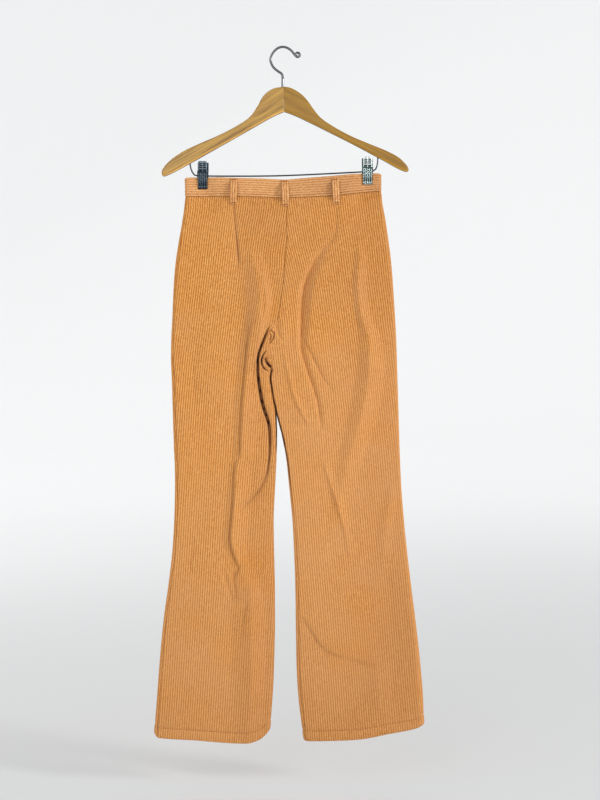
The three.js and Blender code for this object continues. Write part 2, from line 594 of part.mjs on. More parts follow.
// ---------------------------------------------------------------- pieces that lie on the cloth
// Lift of a belt loop over the cloth, from its upper end to its lower end.
const LOOP_LIFT = [
  { t: 0, lift: 0 }, { t: 0.1, lift: 0 }, { t: 0.2, lift: 3.6 }, { t: 0.32, lift: 5.6 }, { t: 0.62, lift: 5.6 },
  { t: 0.76, lift: 3.4 }, { t: 0.87, lift: 0 }, { t: 1, lift: 0 },
];
const loopLift = curve(LOOP_LIFT, "t", "lift");
function beltLoop(x0, lean, face, drop = 0) {
  const sign = face === "back" ? -1 : 1;
  const top = bandTop(x0) - 0.6 - drop;
  const outer = [];
  const inner = [];
  for (const t of [0, 0.1, 0.15, 0.2, 0.26, 0.33, 0.47, 0.61, 0.69, 0.77, 0.82, 0.87, 1]) {
    const z = top - LOOP_LENGTH * t;
    const x = x0 + lean * t;
    const rowOuter = [];
    const rowInner = [];
    for (const s of [-1, 0, 1]) {
      const px = x + (s * LOOP_WIDTH) / 2;
      const leg = px < (face === "back" ? centreBack(z) : centreFront(z)) ? -1 : 1;
      const cloth = Math.max(...[-1, 0, 1].map((d) => Math.abs(skinY(leg, face, px + 3 * d, z - 2 * Math.abs(d)))));
      const y = sign * (cloth + LOOP_REST + loopLift(t));
      rowInner.push(new THREE.Vector3(px, y, z));
      rowOuter.push(new THREE.Vector3(px, y + sign * LOOP_WALL, z));
    }
    outer.push(rowOuter);
    inner.push(rowInner);
  }
  return wall(outer, inner);
}
// The overlapping edge over the opening at the centre front, rounded off at its lower end.
function flyPlacket() {
  const outer = [];
  const inner = [];
  for (const t of [0, 0.15, 0.3, 0.45, 0.6, 0.72, 0.82, 0.9, 0.96, 1]) {
    const z = -271 - PLACKET_LENGTH * t;
    const width = t < 0.6 ? PLACKET_WIDTH : PLACKET_WIDTH * Math.sqrt(Math.max(0.02, 1 - ((t - 0.6) / 0.4) ** 2));
    const rowOuter = [];
    const rowInner = [];
    for (const s of [0, 0.33, 0.67, 1]) {
      const x = centreFront(z) - 2 + width * s;
      const cloth = Math.max(...[-6, 0, 6].map((d) => skinY(x + d < centreFront(z) ? -1 : 1, "front", x + d, z)));
      rowInner.push(new THREE.Vector3(x, cloth + 0.45, z));
      rowOuter.push(new THREE.Vector3(x, cloth + 0.45 + PLACKET_WALL, z));
    }
    outer.push(rowOuter);
    inner.push(rowInner);
  }
  return wall(outer, inner);
}
function waistButton() {
  const r = BUTTON_R;
  const h = BUTTON_THICK;
  const profile = [[0, 0], [r - 0.6, 0], [r, 0.8], [r, h - 0.8], [r - 0.7, h], [r - 2, h], [r - 2.6, h - 0.9], [0, h - 1.1]];
  const g = new THREE.LatheGeometry(profile.map(([a, b]) => new THREE.Vector2(a, b)), 28);
  let solid = manifold(g);
  for (const [dx, dz] of [[1.6, 1.6], [-1.6, 1.6], [1.6, -1.6], [-1.6, -1.6]]) {
    const hole = new THREE.CylinderGeometry(0.8, 0.8, h * 3, 10);
    hole.translate(dx, h / 2, dz);
    solid = solid.subtract(manifold(hole));
  }
  const button = geometryFrom(solid);
  const z = mix(bandTop(2), bandSeam(2), 0.5);
  const y = skinY(1, "front", 4, -245) + BAND_WALL + 0.45 + 0.35;
  button.translate(4, y, z);
  return button;
}

// ---------------------------------------------------------------- booleans
function manifold(geometry) {
  const g = geometry.clone();
  g.deleteAttribute("normal");
  g.deleteAttribute("uv");
  const m = mergeVertices(g, 1e-4);
  return new wasm.Manifold(new wasm.Mesh({
    numProp: 3,
    vertProperties: new Float32Array(m.attributes.position.array),
    triVerts: new Uint32Array(m.index.array),
  }));
}
function geometryFrom(solid) {
  const mesh = solid.getMesh();
  const g = new THREE.BufferGeometry();
  const n = mesh.numProp;
  const p = [];
  for (let i = 0; i < mesh.vertProperties.length; i += n) p.push(mesh.vertProperties[i], mesh.vertProperties[i + 1], mesh.vertProperties[i + 2]);
  g.setAttribute("position", new THREE.Float32BufferAttribute(p, 3));
  g.setIndex([...mesh.triVerts]);
  return g;
}

// ---------------------------------------------------------------- hanger
const inPlane = (rows, y = 0) => new THREE.CatmullRomCurve3(rows.map((r) => new THREE.Vector3(r.x, y, r.z)), false, "centripetal");
function wire(path, radius, steps, sides) {
  const shape = new THREE.Shape();
  for (let i = 0; i < sides; i += 1) {
    const a = (i / sides) * Math.PI * 2;
    if (i === 0) shape.moveTo(radius * Math.cos(a), radius * Math.sin(a));
    else shape.lineTo(radius * Math.cos(a), radius * Math.sin(a));
  }
  shape.closePath();
  return new THREE.ExtrudeGeometry(shape, { steps, bevelEnabled: false, extrudePath: path });
}
function arm(outline, leg) {
  const shape = new THREE.Shape(outline.map((p) => new THREE.Vector2(p.x, p.z)));
  const g = new THREE.ExtrudeGeometry(shape, {
    depth: ARM_THICK - 2 * ARM_BEVEL, bevelEnabled: true, bevelThickness: ARM_BEVEL, bevelSize: ARM_BEVEL,
    bevelOffset: -ARM_BEVEL, bevelSegments: 2, curveSegments: 1,
  });
  g.rotateX(Math.PI / 2);
  g.translate(0, ARM_THICK / 2 - ARM_BEVEL, 0);
  let solid = manifold(g);
  const past = new THREE.BoxGeometry(40, 40, 200);
  past.translate(JOINT_X - leg * (20 - 0.15), 0, -90);
  solid = solid.subtract(manifold(past));
  const stem = new THREE.CylinderGeometry(HOOK_R + 0.3, HOOK_R + 0.3, 30, 14);
  stem.rotateX(Math.PI / 2);
  stem.translate(-0.5, 0, -80);
  solid = solid.subtract(manifold(stem));
  const end = leg < 0 ? BAR_PATH[0] : BAR_PATH[BAR_PATH.length - 1];
  const bore = new THREE.CylinderGeometry(BAR_R + 0.55, BAR_R + 0.55, 40, 12);
  bore.rotateX(Math.PI / 2);
  bore.translate(end.x, 0, end.z + 1 - 20);
  return geometryFrom(solid.subtract(manifold(bore)));
}
// One jaw of a clip: a bent plate with a gripping mouth at its foot and two ears over the bar.
// Profile rows: height from the clip's middle, and distance of the plate's inner face from the cloth plane.
const JAW = [
  { z: 24.4, y: 8.6 }, { z: 14, y: 7.6 }, { z: 6, y: 6 }, { z: -4, y: 5.6 }, { z: -12, y: 5.2 }, { z: -17, y: 4.2 },
  { z: -19.4, y: 3.55 }, { z: -24.4, y: 3.55 },
];
const RIB_ROWS = [20, 16.4, 12.8, 9.2]; // raised ribs across the grip
function jaw(sign, cx, cz, barZ, earX) {
  const rise = Math.atan2(barHeight(cx + earX) - barHeight(cx - earX), 2 * earX);
  const pts = JAW.map((r) => new THREE.Vector2(sign * r.y, r.z));
  const back = JAW.map((r) => new THREE.Vector2(sign * (r.y + CLIP_PLATE), r.z)).reverse();
  const plateShape = new THREE.Shape([...pts, ...back]);
  const plate = new THREE.ExtrudeGeometry(plateShape, { depth: CLIP_WIDTH, bevelEnabled: false });
  // shape x is the distance from the cloth plane, shape y the height, extrusion the clip's width
  plate.applyMatrix4(new THREE.Matrix4().set(0, 0, 1, -CLIP_WIDTH / 2, 1, 0, 0, 0, 0, 1, 0, 0, 0, 0, 0, 1));
  let solid = manifold(plate);
  for (const z of RIB_ROWS) {
    const rib = new THREE.BoxGeometry(CLIP_WIDTH - 4, 1, 1.5);
    rib.translate(0, sign * (mix(6.6, 8.3, (z - 8) / 14) + CLIP_PLATE + 0.15), z);
    solid = solid.add(manifold(rib));
  }
  for (const s of [-1, 1]) {
    const low = barZ - cz - 1.2;
    const ear = new THREE.BoxGeometry(0.9, 8.6, 7);
    ear.translate(s * earX, sign * (6.2 - 4.3), low + 3.5);
    solid = solid.add(manifold(ear));
  }
  const hole = new THREE.CylinderGeometry(BAR_R + 0.8, BAR_R + 0.8, 40, 14);
  hole.rotateZ(Math.PI / 2);
  hole.rotateY(-rise);
  hole.translate(0, 0, (barHeight(cx + earX) + barHeight(cx - earX)) / 2 - cz);
  solid = solid.subtract(manifold(hole));
  const g = geometryFrom(solid);
  g.translate(cx, 0, cz);
  return g;
}
function spring(cx, barZ) {
  class Coil extends THREE.Curve {
    getPoint(t) {
      const a = t * Math.PI * 2 * 4;
      return new THREE.Vector3(cx - 5 + 10 * t, COIL_R * Math.cos(a), barZ + COIL_R * Math.sin(a));
    }
  }
  return wire(new Coil(), COIL_WIRE, 40, 5);
}
const barCurve = inPlane(BAR_PATH);
function barHeight(x) {
  let best = 0;
  for (let i = 0; i <= 400; i += 1) {
    const p = barCurve.getPoint(i / 400);
    if (i === 0 || Math.abs(p.x - x) < Math.abs(best.x - x)) best = p;
  }
  return best.z;
}

// ---------------------------------------------------------------- materials and assembly
const corduroy = (hex) => new THREE.MeshStandardMaterial({ color: hex, roughness: 0.95, metalness: 0 });
const timber = (hex) => new THREE.MeshStandardMaterial({ color: hex, roughness: 0.5, metalness: 0 });
const steel = () => new THREE.MeshStandardMaterial({ color: 0xb9bbbd, roughness: 0.25, metalness: 1 });

const group = new THREE.Group();
function piece(name, geometry, material) {
  const g = geometry.index ? geometry : mergeVertices(geometry);
  g.computeVertexNormals();
  const m = new THREE.Mesh(g, material);
  m.name = name;
  group.add(m);
}
const CORD = 0xd0935a;
const band = waistband();
["front_right", "back_right", "back_left", "front_left"].forEach((name, i) => {
  // the front pieces carry the overlap's lower and upper end
  piece(`waistband_${name}`, band[i], corduroy(CORD));
});
for (const [side, leg] of [["left", -1], ["right", 1]]) {
  for (const face of ["back", "front"]) {
    for (const zone of Object.keys(ZONES)) piece(`${face}_panel_${side}_${zone}`, panel(leg, face, zone), corduroy(CORD));
  }
}
piece("fly_placket", flyPlacket(), corduroy(CORD));
piece("belt_loop_back_left", beltLoop(-86.6, -1.4, "back"), corduroy(CORD));
piece("belt_loop_back_centre", beltLoop(3.4, 2, "back"), corduroy(CORD));
piece("belt_loop_back_right", beltLoop(92.8, 2.2, "back", 3.5), corduroy(CORD));
piece("belt_loop_front_left", beltLoop(-90, 0, "front"), corduroy(CORD));
piece("belt_loop_front_right", beltLoop(94, 0, "front"), corduroy(CORD));
piece("waist_button", waistButton(), new THREE.MeshStandardMaterial({ color: 0x8a5a34, roughness: 0.4, metalness: 0 }));
piece("hanger_arm_left", arm(ARM_LEFT, -1), timber(0xc49a55));
piece("hanger_arm_right", arm(ARM_RIGHT, 1), timber(0xb5853f));
piece("hanger_hook", wire(inPlane(HOOK_PATH), HOOK_R, 52, 10), steel());
piece("trouser_bar", wire(barCurve, BAR_R, 60, 8), steel());
for (const [side, cx, cz] of [["left", CLIP_LEFT_X, CLIP_LEFT_Z], ["right", CLIP_RIGHT_X, CLIP_RIGHT_Z]]) {
  const barZ = barHeight(cx);
  piece(`clip_${side}_outer_jaw`, jaw(-1, cx, cz, barZ, 9.25), steel());
  piece(`clip_${side}_inner_jaw`, jaw(1, cx, cz, barZ, 7.9), steel());
  piece(`clip_${side}_spring`, spring(cx, barZ), steel());
}

export default group;
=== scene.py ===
import math

import bpy
import numpy as np
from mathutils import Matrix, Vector


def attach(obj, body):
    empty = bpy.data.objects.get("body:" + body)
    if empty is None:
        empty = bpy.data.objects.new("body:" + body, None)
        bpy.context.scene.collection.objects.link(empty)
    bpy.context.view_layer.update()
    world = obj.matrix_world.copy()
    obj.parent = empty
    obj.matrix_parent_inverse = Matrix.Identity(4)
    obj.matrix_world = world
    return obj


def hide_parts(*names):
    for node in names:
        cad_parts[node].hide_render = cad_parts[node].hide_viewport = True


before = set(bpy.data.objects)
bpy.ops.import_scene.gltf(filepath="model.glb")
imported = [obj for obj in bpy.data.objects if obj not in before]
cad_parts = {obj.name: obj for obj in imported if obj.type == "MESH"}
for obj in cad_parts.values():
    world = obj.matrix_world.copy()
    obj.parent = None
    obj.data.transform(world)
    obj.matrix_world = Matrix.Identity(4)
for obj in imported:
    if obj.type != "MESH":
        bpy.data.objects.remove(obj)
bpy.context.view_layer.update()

# Corduroy trousers hung by the waistband from a wooden clip hanger.
# Sizes are millimetres here and metres in the meshes. +X is to the right of a viewer who faces the back
# of the garment, +Z is up and -Y is towards that viewer.
MM = 0.001
WALE = 4.1            # spacing of the cord ribs
WALE_HIGH = 0.8       # height of a rib
CLOTH = 1.3
BAND = 2.3
SEAM = 0.16           # gap at a seam
HEM = 18.0
rng = np.random.default_rng(7)


# ------------------------------------------------------------------ curves through short tables
def curve(rows, key, value):
    pts = sorted((r[key], r[value]) for r in rows)
    xs = np.array([p[0] for p in pts], float)
    ys = np.array([p[1] for p in pts], float)
    d = np.diff(ys) / np.diff(xs)
    m = np.empty_like(xs)
    m[0], m[-1] = d[0], d[-1]
    for i in range(1, len(xs) - 1):
        m[i] = 0.0 if d[i - 1] * d[i] <= 0 else 2 * d[i - 1] * d[i] / (d[i - 1] + d[i])

    def f(x):
        x = np.clip(np.asarray(x, float), xs[0], xs[-1])
        i = np.clip(np.searchsorted(xs, x) - 1, 0, len(xs) - 2)
        h = xs[i + 1] - xs[i]
        t = (x - xs[i]) / h
        return ((1 + 2 * t) * (1 - t) ** 2 * ys[i] + t * (1 - t) ** 2 * h * m[i]
                + t * t * (3 - 2 * t) * ys[i + 1] + t * t * (t - 1) * h * m[i + 1])
    return f


def rows(names, *values):
    names = names.split()
    return [dict(zip(names, v)) for v in values]


def smooth(v):
    t = np.clip(v, 0, 1)
    return t * t * (3 - 2 * t)


def mix(a, b, t):
    return a + (b - a) * t


# Silhouette and half depths of the hung garment by height.
SECTIONS = rows("z left right back front edge",
    (-225, -175.6, 175.2, 9.5, 7.4, 8), (-252, -174.6, 175.3, 9.8, 7.4, 8), (-270, -174.8, 176.4, 10.4, 7.5, 9),
    (-306, -178.9, 182.5, 12.6, 8, 14), (-342, -185.1, 187.8, 15.5, 9, 17), (-377, -190.5, 192.2, 17.5, 9.8, 19),
    (-413, -194.0, 195.3, 18.6, 10.4, 20), (-448, -195.8, 197.6, 18.8, 11, 20), (-484, -197.2, 199.9, 18.2, 11.6, 20),
    (-520, -199.0, 201.7, 17, 12, 20), (-555, -199.4, 202.9, 16, 12, 19), (-591, -197.9, 204.0, 15, 12, 19),
    (-644, -196.4, 205.6, 13.8, 11.6, 18), (-698, -194.7, 207.2, 12.8, 11, 17), (-769, -192.3, 210.0, 11.8, 10.4, 16),
    (-840, -193.7, 215.4, 11.2, 10, 15), (-893, -196.9, 220.7, 11, 10, 15), (-947, -202.9, 227.0, 11, 10, 15),
    (-1018, -212.7, 235.9, 11.6, 10.4, 16), (-1089, -219.3, 243.9, 12.2, 10.8, 16), (-1160, -224.6, 249.6, 12.8, 11.2, 17),
    (-1217, -228.8, 251.2, 13.2, 11.6, 17), (-1240, -229.4, 251.4, 13.4, 11.8, 17))
CENTRE = rows("z back front",
    (-262, 7.5, 2), (-315, 6.8, 2), (-342, 7.5, 1.5), (-377, 3.7, 1), (-411, 1.8, 0), (-432, -1.4, -1.5),
    (-456, -5, -4), (-486, -10, -10), (-499, -18.5, -18.5), (-511, -25.5, -25.5), (-530, -24, -24), (-556, -19, -19))
INNER = rows("z left right",
    (-556, -19, -19), (-572, -20, -20), (-588, -22.4, -22.4), (-605, -20, -20), (-626, -16.6, -16.6),
    (-643, -13.4, -13), (-665, -10.4, -8.9), (-685, -9.8, -3.7), (-710, -10.2, 1.6), (-733, -11, 5.7),
    (-769, -12.8, 9.6), (-804, -14.6, 13), (-840, -16, 16.4), (-893, -15.2, 19.2), (-947, -13.9, 21.4),
    (-1018, -13.5, 22.4), (-1089, -15, 23.6), (-1125, -16.2, 25), (-1160, -18.4, 27.6), (-1196, -21.2, 32), (-1240, -25, 38))
CROTCH = rows("z closed", (-520, 0), (-545, 0.06), (-558, 0.2), (-567, 0.5), (-574, 0.85), (-580, 1))
WAIST = rows("x top seam",
    (-176, -232.4, -264.7), (-165, -230.8, -264.7), (-123, -230.9, -264.7), (-82, -232.3, -264.9), (-41, -233.3, -266.3),
    (4, -235.3, -268.0), (30, -233.2, -267.0), (94, -228, -263.6), (123, -225.2, -260), (141, -224, -257.6),
    (164, -223.2, -255.8), (176, -224.6, -255))
HEM_LEFT = rows("x z", (-230, -1218), (-221, -1226.4), (-152, -1229.8), (-133, -1231.4), (-64, -1235.4),
    (-43, -1229.8), (-35, -1224.5), (-23, -1212))
HEM_RIGHT = rows("x z", (36, -1230), (44, -1231.8), (85, -1230.6), (135, -1228), (154, -1225.2), (188, -1218.4),
    (221, -1212.8), (238, -1208.4), (251, -1202))
# Lines that the ribs run along, one for each leg and side.
GRAIN = {
    (-1, "back"): rows("z x", (-225, -76), (-420, -99), (-600, -121), (-760, -133), (-1000, -149), (-1250, -166)),
    (1, "back"): rows("z x", (-225, 78), (-420, 105), (-600, 128), (-760, 142), (-1000, 165), (-1250, 186)),
    (-1, "front"): rows("z x", (-225, -90), (-600, -112), (-1000, -134), (-1250, -150)),
    (1, "front"): rows("z x", (-225, 92), (-600, 118), (-1000, 146), (-1250, 164)),
}
# Creases by height: x of the line, how far the cloth sinks there (negative: rises), widths to its left and right.
# form: soft is a rounded trough or ridge, sharp is a pressed line, slit is a deep narrow fold, facet is a flat slope
# on each side, lip is a slope that is steepest at its line, cut is a lip on the left and a facet on the right.
FOLDS = {
    ("left_dart", -1, "back", "sharp"): rows("z x depth wl wr",
        (-282.1, -87.6, 2.2, 1.4, 2), (-322, -84.4, 2.6, 1.5, 2), (-350.5, -81.3, 3.5, 1.7, 2), (-370.1, -79.4, 3.7, 1.9, 2.2),
        (-382.5, -78.9, 2.4, 2.2, 2.4), (-395, -78.3, 0, 3, 3)),
    ("left_seat_slope", -1, "back", "facet"): rows("z x depth wl wr",
        (-345.1, -67.6, 0, 7.2, 14), (-362.9, -58.7, -2, 12.6, 18), (-386.1, -49.8, -4.6, 19.8, 20), (-416.3, -42.7, -7, 25.2, 22),
        (-448.4, -40, -8.6, 28.8, 22), (-480.4, -41.8, -7.9, 25.2, 20), (-508.9, -46.3, -5.7, 18, 14),
        (-537.4, -50.7, -2.9, 12.6, 10), (-565.9, -55.2, 0, 9, 8)),
    ("left_crest_by_slit", -1, "back", "lip"): rows("z x depth wl wr",
        (-380.7, -37.4, 0, 5, 5), (-419.9, -33.3, -1.4, 6, 6), (-457.3, -29.5, -2.4, 6, 6), (-491.1, -37, -2.6, 6, 5),
        (-531.3, -45.7, -2.6, 6, 4.5), (-558.4, -48.8, -2.4, 6, 4.5), (-599.7, -48.1, -1.6, 6, 4.5), (-635.3, -42.7, 0, 5, 4)),
    ("left_long_fold", -1, "back", "facet"): rows("z x depth wl wr",
        (-459.1, -48.1, 0, 12, 14), (-484, -51.6, -3.2, 14, 18), (-507.1, -55.5, -5.2, 15, 22), (-531.3, -59.8, -6.2, 15, 24),
        (-585.4, -65.1, -6.8, 15, 26), (-638.8, -69.8, -6.8, 15, 26), (-693.3, -72.6, -6.6, 15, 26),
        (-718.9, -73.7, -6.2, 14, 26), (-735, -77.8, -5.8, 13, 26), (-751, -82.6, -6, 13, 26), (-799, -85.1, -6.8, 14, 28),
        (-839.4, -88.3, -7, 15, 28), (-871.5, -91, -6.8, 15, 28), (-893.4, -86.9, -5.8, 14, 24), (-909.4, -81.2, -4.4, 12, 20),
        (-923.6, -75.8, -2.6, 12, 18), (-943.2, -71.2, -1, 14, 18), (-968.1, -69.4, 0, 14, 18)),
    ("left_fold_foot", -1, "back", "sharp"): rows("z x depth wl wr",
        (-480.4, -54.5, 0, 2, 1.6), (-507.1, -59.5, 1.8, 2.4, 1.6), (-531.3, -63.5, 2.6, 2.6, 1.7),
        (-585.4, -68.9, 3, 2.8, 1.8), (-638.8, -73.7, 3, 2.8, 1.8), (-693.3, -76.4, 3, 2.8, 1.8),
        (-715.4, -76.9, 2.6, 2.6, 1.8), (-729.6, -77.6, 0, 2.4, 1.8)),
    ("left_fold_foot_low", -1, "back", "sharp"): rows("z x depth wl wr",
        (-731.4, -82.6, 0, 2, 1.6), (-745.6, -86.2, 2.4, 2.4, 1.7), (-799, -88.6, 3.4, 2.8, 1.8), (-839.4, -91.8, 3.6, 3, 1.8),
        (-871.5, -94.5, 3.6, 3, 1.8), (-893.4, -90.8, 3.4, 2.8, 1.6), (-909.4, -85.3, 3, 2.4, 1.5),
        (-921.9, -80.5, 2, 2.2, 1.5), (-930.8, -77.3, 0, 2, 2)),
    ("left_shin_swell", -1, "back", "facet"): rows("z x depth wl wr",
        (-929, -64.1, 0, 23.4, 16), (-955.7, -59.6, -4.1, 30.6, 20), (-991.3, -56.1, -6.5, 34.2, 22), (-1053.6, -56.1, -7.3, 34.2, 24),
        (-1124.8, -57, -5.9, 32.4, 24), (-1178.2, -59.6, -4.1, 30.6, 24), (-1220.9, -62.3, -2.2, 28.8, 22)),
    ("left_shin_line", -1, "back", "sharp"): rows("z x depth wl wr",
        (-929, -103.6, 0, 2, 2.4), (-943.2, -100.6, 1.6, 2, 2.4), (-968.1, -93.3, 1.6, 2, 2.6), (-989.5, -86.5, 0, 2, 3)),
    ("left_shin_line_inner", -1, "back", "sharp"): rows("z x depth wl wr",
        (-923.6, -88.6, 0, 2, 2.4), (-937.9, -87.2, 2.1, 2, 2.4), (-968.1, -84.4, 1.8, 2, 2.4), (-989.5, -82.9, 0, 2, 2.4)),
    ("left_shin_tick", -1, "back", "sharp"): rows("z x depth wl wr",
        (-978.8, -62.3, 0, 2.4, 2.4), (-996.6, -65.9, 1.4, 2.4, 2.4), (-1019.8, -70.7, 1.4, 2.4, 2.4),
        (-1041.1, -74.8, 0, 2.4, 2.4)),
    ("left_knee_tick", -1, "back", "sharp"): rows("z x depth wl wr",
        (-916.5, -73.9, 0, 2, 2), (-923.6, -77.6, 2, 2.2, 2.2), (-932.5, -82.6, 1.8, 2.4, 2.4),
        (-943.2, -88.1, 1.4, 2.4, 2.4), (-953.9, -92.6, 0, 2.4, 2.4)),
    ("left_thigh_mark", -1, "back", "sharp"): rows("z x depth wl wr",
        (-555.2, -159.5, 0, 2, 4), (-574.8, -158.8, 0.8, 2, 4), (-617.5, -157, 0.8, 2, 4), (-640.6, -156.1, 0, 2, 4)),
    ("left_shin_mark", -1, "back", "sharp"): rows("z x depth wl wr",
        (-868.5, -160.2, 0, 2, 3), (-886.3, -161.1, 0.8, 2, 3), (-921.9, -163.8, 0.8, 2, 3), (-941.4, -164.7, 0, 2, 3)),
    ("inner_thigh_slit", -1, "back", "slit"): rows("z x depth wl wr",
        (-495.6, -23.9, 0, 1.3, 1.3), (-504.3, -27.9, 5, 1.6, 1.6), (-516, -32.4, 9, 1.8, 1.8), (-531.3, -38.4, 11, 2, 1.9),
        (-545.7, -42.9, 11, 2, 1.9), (-558.4, -44.5, 11, 2, 1.9), (-573, -44.5, 11, 2.1, 1.9), (-592, -43.1, 11, 2.4, 2.2),
        (-612.1, -40, 11, 2.6, 2.3), (-633, -36, 11, 2.8, 2.5), (-649.5, -31, 10.5, 2.8, 2.5), (-663.8, -26.3, 9.5, 2.6, 2.4),
        (-679.8, -23.5, 8, 2.4, 2.2), (-699.4, -23, 6.5, 2.3, 2.2), (-720.4, -23.7, 5, 1.8, 1.8),
        (-738.5, -25.3, 3.4, 1.8, 1.8), (-756.3, -28.5, 2, 2, 2), (-770.6, -33.8, 0, 2.2, 2.2)),
    ("slit_tail", -1, "back", "sharp"): rows("z x depth wl wr",
        (-733.2, -24.2, 0, 2, 2), (-751, -26.7, 2.3, 2.2, 2.6), (-768.8, -33.1, 3.1, 2.8, 3.2), (-783, -40, 3.4, 3.2, 3.6),
        (-799, -52, 2.9, 3.8, 4.2), (-811.5, -63.4, 1.8, 4, 4.4), (-824, -73, 0, 4, 4.4)),
    ("inner_thigh_roll", -1, "back", "soft"): rows("z x depth wl wr",
        (-519.6, -26.7, 0, 8, 8), (-565.9, -32.9, -1.2, 8, 7), (-626.4, -26.7, -1.6, 7, 7), (-670.9, -18.7, -1.6, 5, 5),
        (-715.4, -16, -0.8, 5, 5), (-768.8, -16, 0, 5, 5)),
    ("crotch_curl", -1, "back", "slit"): rows("z x depth wl wr",
        (-538.3, -29.5, 0, 1.2, 1.2), (-544.5, -33.6, 5, 1.3, 1.2), (-551.6, -36.8, 7, 1.4, 1.3),
        (-558.7, -37.9, 7.4, 1.4, 1.3), (-565.9, -36, 7, 1.5, 1.4), (-571.2, -32.2, 6, 1.9, 1.6), (-575.7, -25.8, 0, 2.4, 2.2)),
    ("crotch_curl_inner", -1, "back", "sharp"): rows("z x depth wl wr",
        (-546.3, -25.6, 0, 1.2, 1.2), (-551.6, -30.3, 1.6, 1.2, 1.2), (-557.9, -32, 1.8, 1.2, 1.2),
        (-563.2, -29.9, 1.6, 1.4, 1.4), (-566.8, -26, 0, 1.8, 1.8)),
    ("crotch_stroke", -1, "back", "slit"): rows("z x depth wl wr",
        (-549.8, -31.3, 0, 1.3, 1.3), (-555.2, -30.3, 6, 1.8, 1.8), (-561.4, -27.4, 8, 2.4, 2.4), (-566.8, -22.4, 9, 3.2, 2.8),
        (-571.2, -17.4, 7, 3, 2.6), (-576.5, -18.5, 5, 2.2, 2), (-583.7, -20.3, 0, 1.8, 1.8)),
    ("right_dart", 1, "back", "sharp"): rows("z x depth wl wr",
        (-282.1, 96.1, 1.2, 1.5, 2.2), (-306, 95.2, 1.4, 1.6, 2.4), (-328.2, 93.6, 1.8, 1.8, 2.6), (-341.6, 89, 2.2, 2, 2.6),
        (-354, 81, 0, 2.4, 3)),
    ("right_diagonal_fold", 1, "back", "cut"): rows("z x depth wl wr",
        (-334.5, 87.2, 0, 6, 5.3), (-348.7, 78, 2.5, 7, 8.4), (-362.9, 68, 4.7, 8, 10.6), (-377.2, 58, 6.5, 8, 13.7),
        (-393.2, 49.8, 7.8, 9, 15.2), (-412.8, 41.7, 9, 9, 16), (-430.6, 36.7, 9.9, 9, 16), (-457.3, 33.1, 10.1, 9, 16),
        (-484, 32.4, 9.5, 9, 15.2), (-508.9, 32, 8.1, 8, 12.9), (-524.9, 31.7, 6.5, 8, 10.6), (-540.9, 33.8, 5, 7, 7.6),
        (-557, 37.7, 4.4, 7, 8.5), (-576.5, 44.1, 3.9, 7, 7.6), (-598.8, 52, 3.3, 7, 7.6), (-626.4, 60.2, 3.1, 7, 8.5),
        (-651.3, 65.1, 2.8, 7, 8.5), (-669.1, 66.9, 1.7, 7, 7.6), (-678, 67.6, 0, 6, 7.6)),
    ("right_fold_bottom", 1, "back", "sharp"): rows("z x depth wl wr",
        (-348.7, 78.1, 0, 1.6, 2.4), (-393.2, 50.2, 0.7, 1.6, 3), (-430.6, 37.4, 0.9, 1.6, 3.2), (-484, 33.5, 0.8, 1.6, 3),
        (-524.9, 32.4, 0.7, 1.6, 2.6), (-576.5, 44.3, 1, 1.6, 2.4), (-626.4, 60.3, 1.2, 1.6, 2.4), (-662, 66.4, 0.9, 1.6, 2.4),
        (-674.4, 67.3, 0, 1.6, 2)),
    ("right_branch_line", 1, "back", "sharp"): rows("z x depth wl wr",
        (-516, 36.7, 0, 2, 3), (-531.3, 42.7, 1.8, 2.2, 3.6), (-544.5, 49.5, 2.2, 2.2, 3.6), (-558.4, 56.4, 2.2, 2.2, 3.6),
        (-585.4, 70, 1.7, 2.4, 3.8), (-603.2, 82.8, 1, 2.8, 4.2), (-615.7, 92.6, 0, 3, 4.6)),
    ("right_inner_crest", 1, "back", "lip"): rows("z x depth wl wr",
        (-533.8, 0, 0, 4, 5), (-558.7, 5.3, -1.4, 6, 11), (-599.7, 14.2, -2.2, 8, 13), (-635.3, 26.7, -2.6, 8, 15),
        (-658.4, 39.2, -1.6, 8, 13), (-674.4, 48.1, 0, 8, 12)),
    ("right_hip_line", 1, "back", "facet"): rows("z x depth wl wr",
        (-341.6, 132.6, 0, 6.8, 11.5), (-375.4, 134.6, -3.2, 8.5, 14.9), (-416.3, 131.7, -4.5, 8.5, 16.1), (-457.3, 134.6, -4.5, 10.2, 16.1),
        (-491.1, 142.4, -6, 10.5, 18.4), (-519.6, 152.2, -6.8, 17.9, 20.7), (-558.4, 153.1, -9.4, 21, 25.3),
        (-612.1, 147.7, -8.1, 22.1, 27.6), (-653.1, 138.1, -8, 22.1, 27.6), (-693.3, 127.4, -6.9, 21, 27.6),
        (-733.2, 115.3, -5.1, 18.9, 25.3), (-777.7, 105, -3.1, 16.8, 23), (-822.2, 97.9, -1.6, 14.7, 20.7), (-857.8, 94.3, 0, 14.7, 18.4)),
    ("right_knee_line", 1, "back", "lip"): rows("z x depth wl wr",
        (-724.3, 68.5, 0, 6, 14), (-751, 76.5, -2, 8, 18), (-799, 92.6, -3, 8, 20), (-839.4, 104.7, -2.8, 8, 20),
        (-879.1, 113.9, -1.4, 8, 18), (-905.8, 119.3, 0, 8, 18)),
    ("right_knee_outer", 1, "back", "facet"): rows("z x depth wl wr",
        (-768.8, 194, 0, 8, 10), (-799, 190.5, -1.8, 11, 12), (-839.4, 183.3, -2.6, 13, 14), (-879.1, 178, -2, 13, 14),
        (-921.9, 176.2, 0, 12, 14)),
    ("right_calf_crease", 1, "back", "sharp"): rows("z x depth wl wr",
        (-1009.1, 32.9, 0, 3, 3), (-1024.4, 40.6, 1.6, 3.6, 3.4), (-1039.3, 49.8, 2, 4.2, 4), (-1056.4, 60.5, 2.2, 4.8, 4.8),
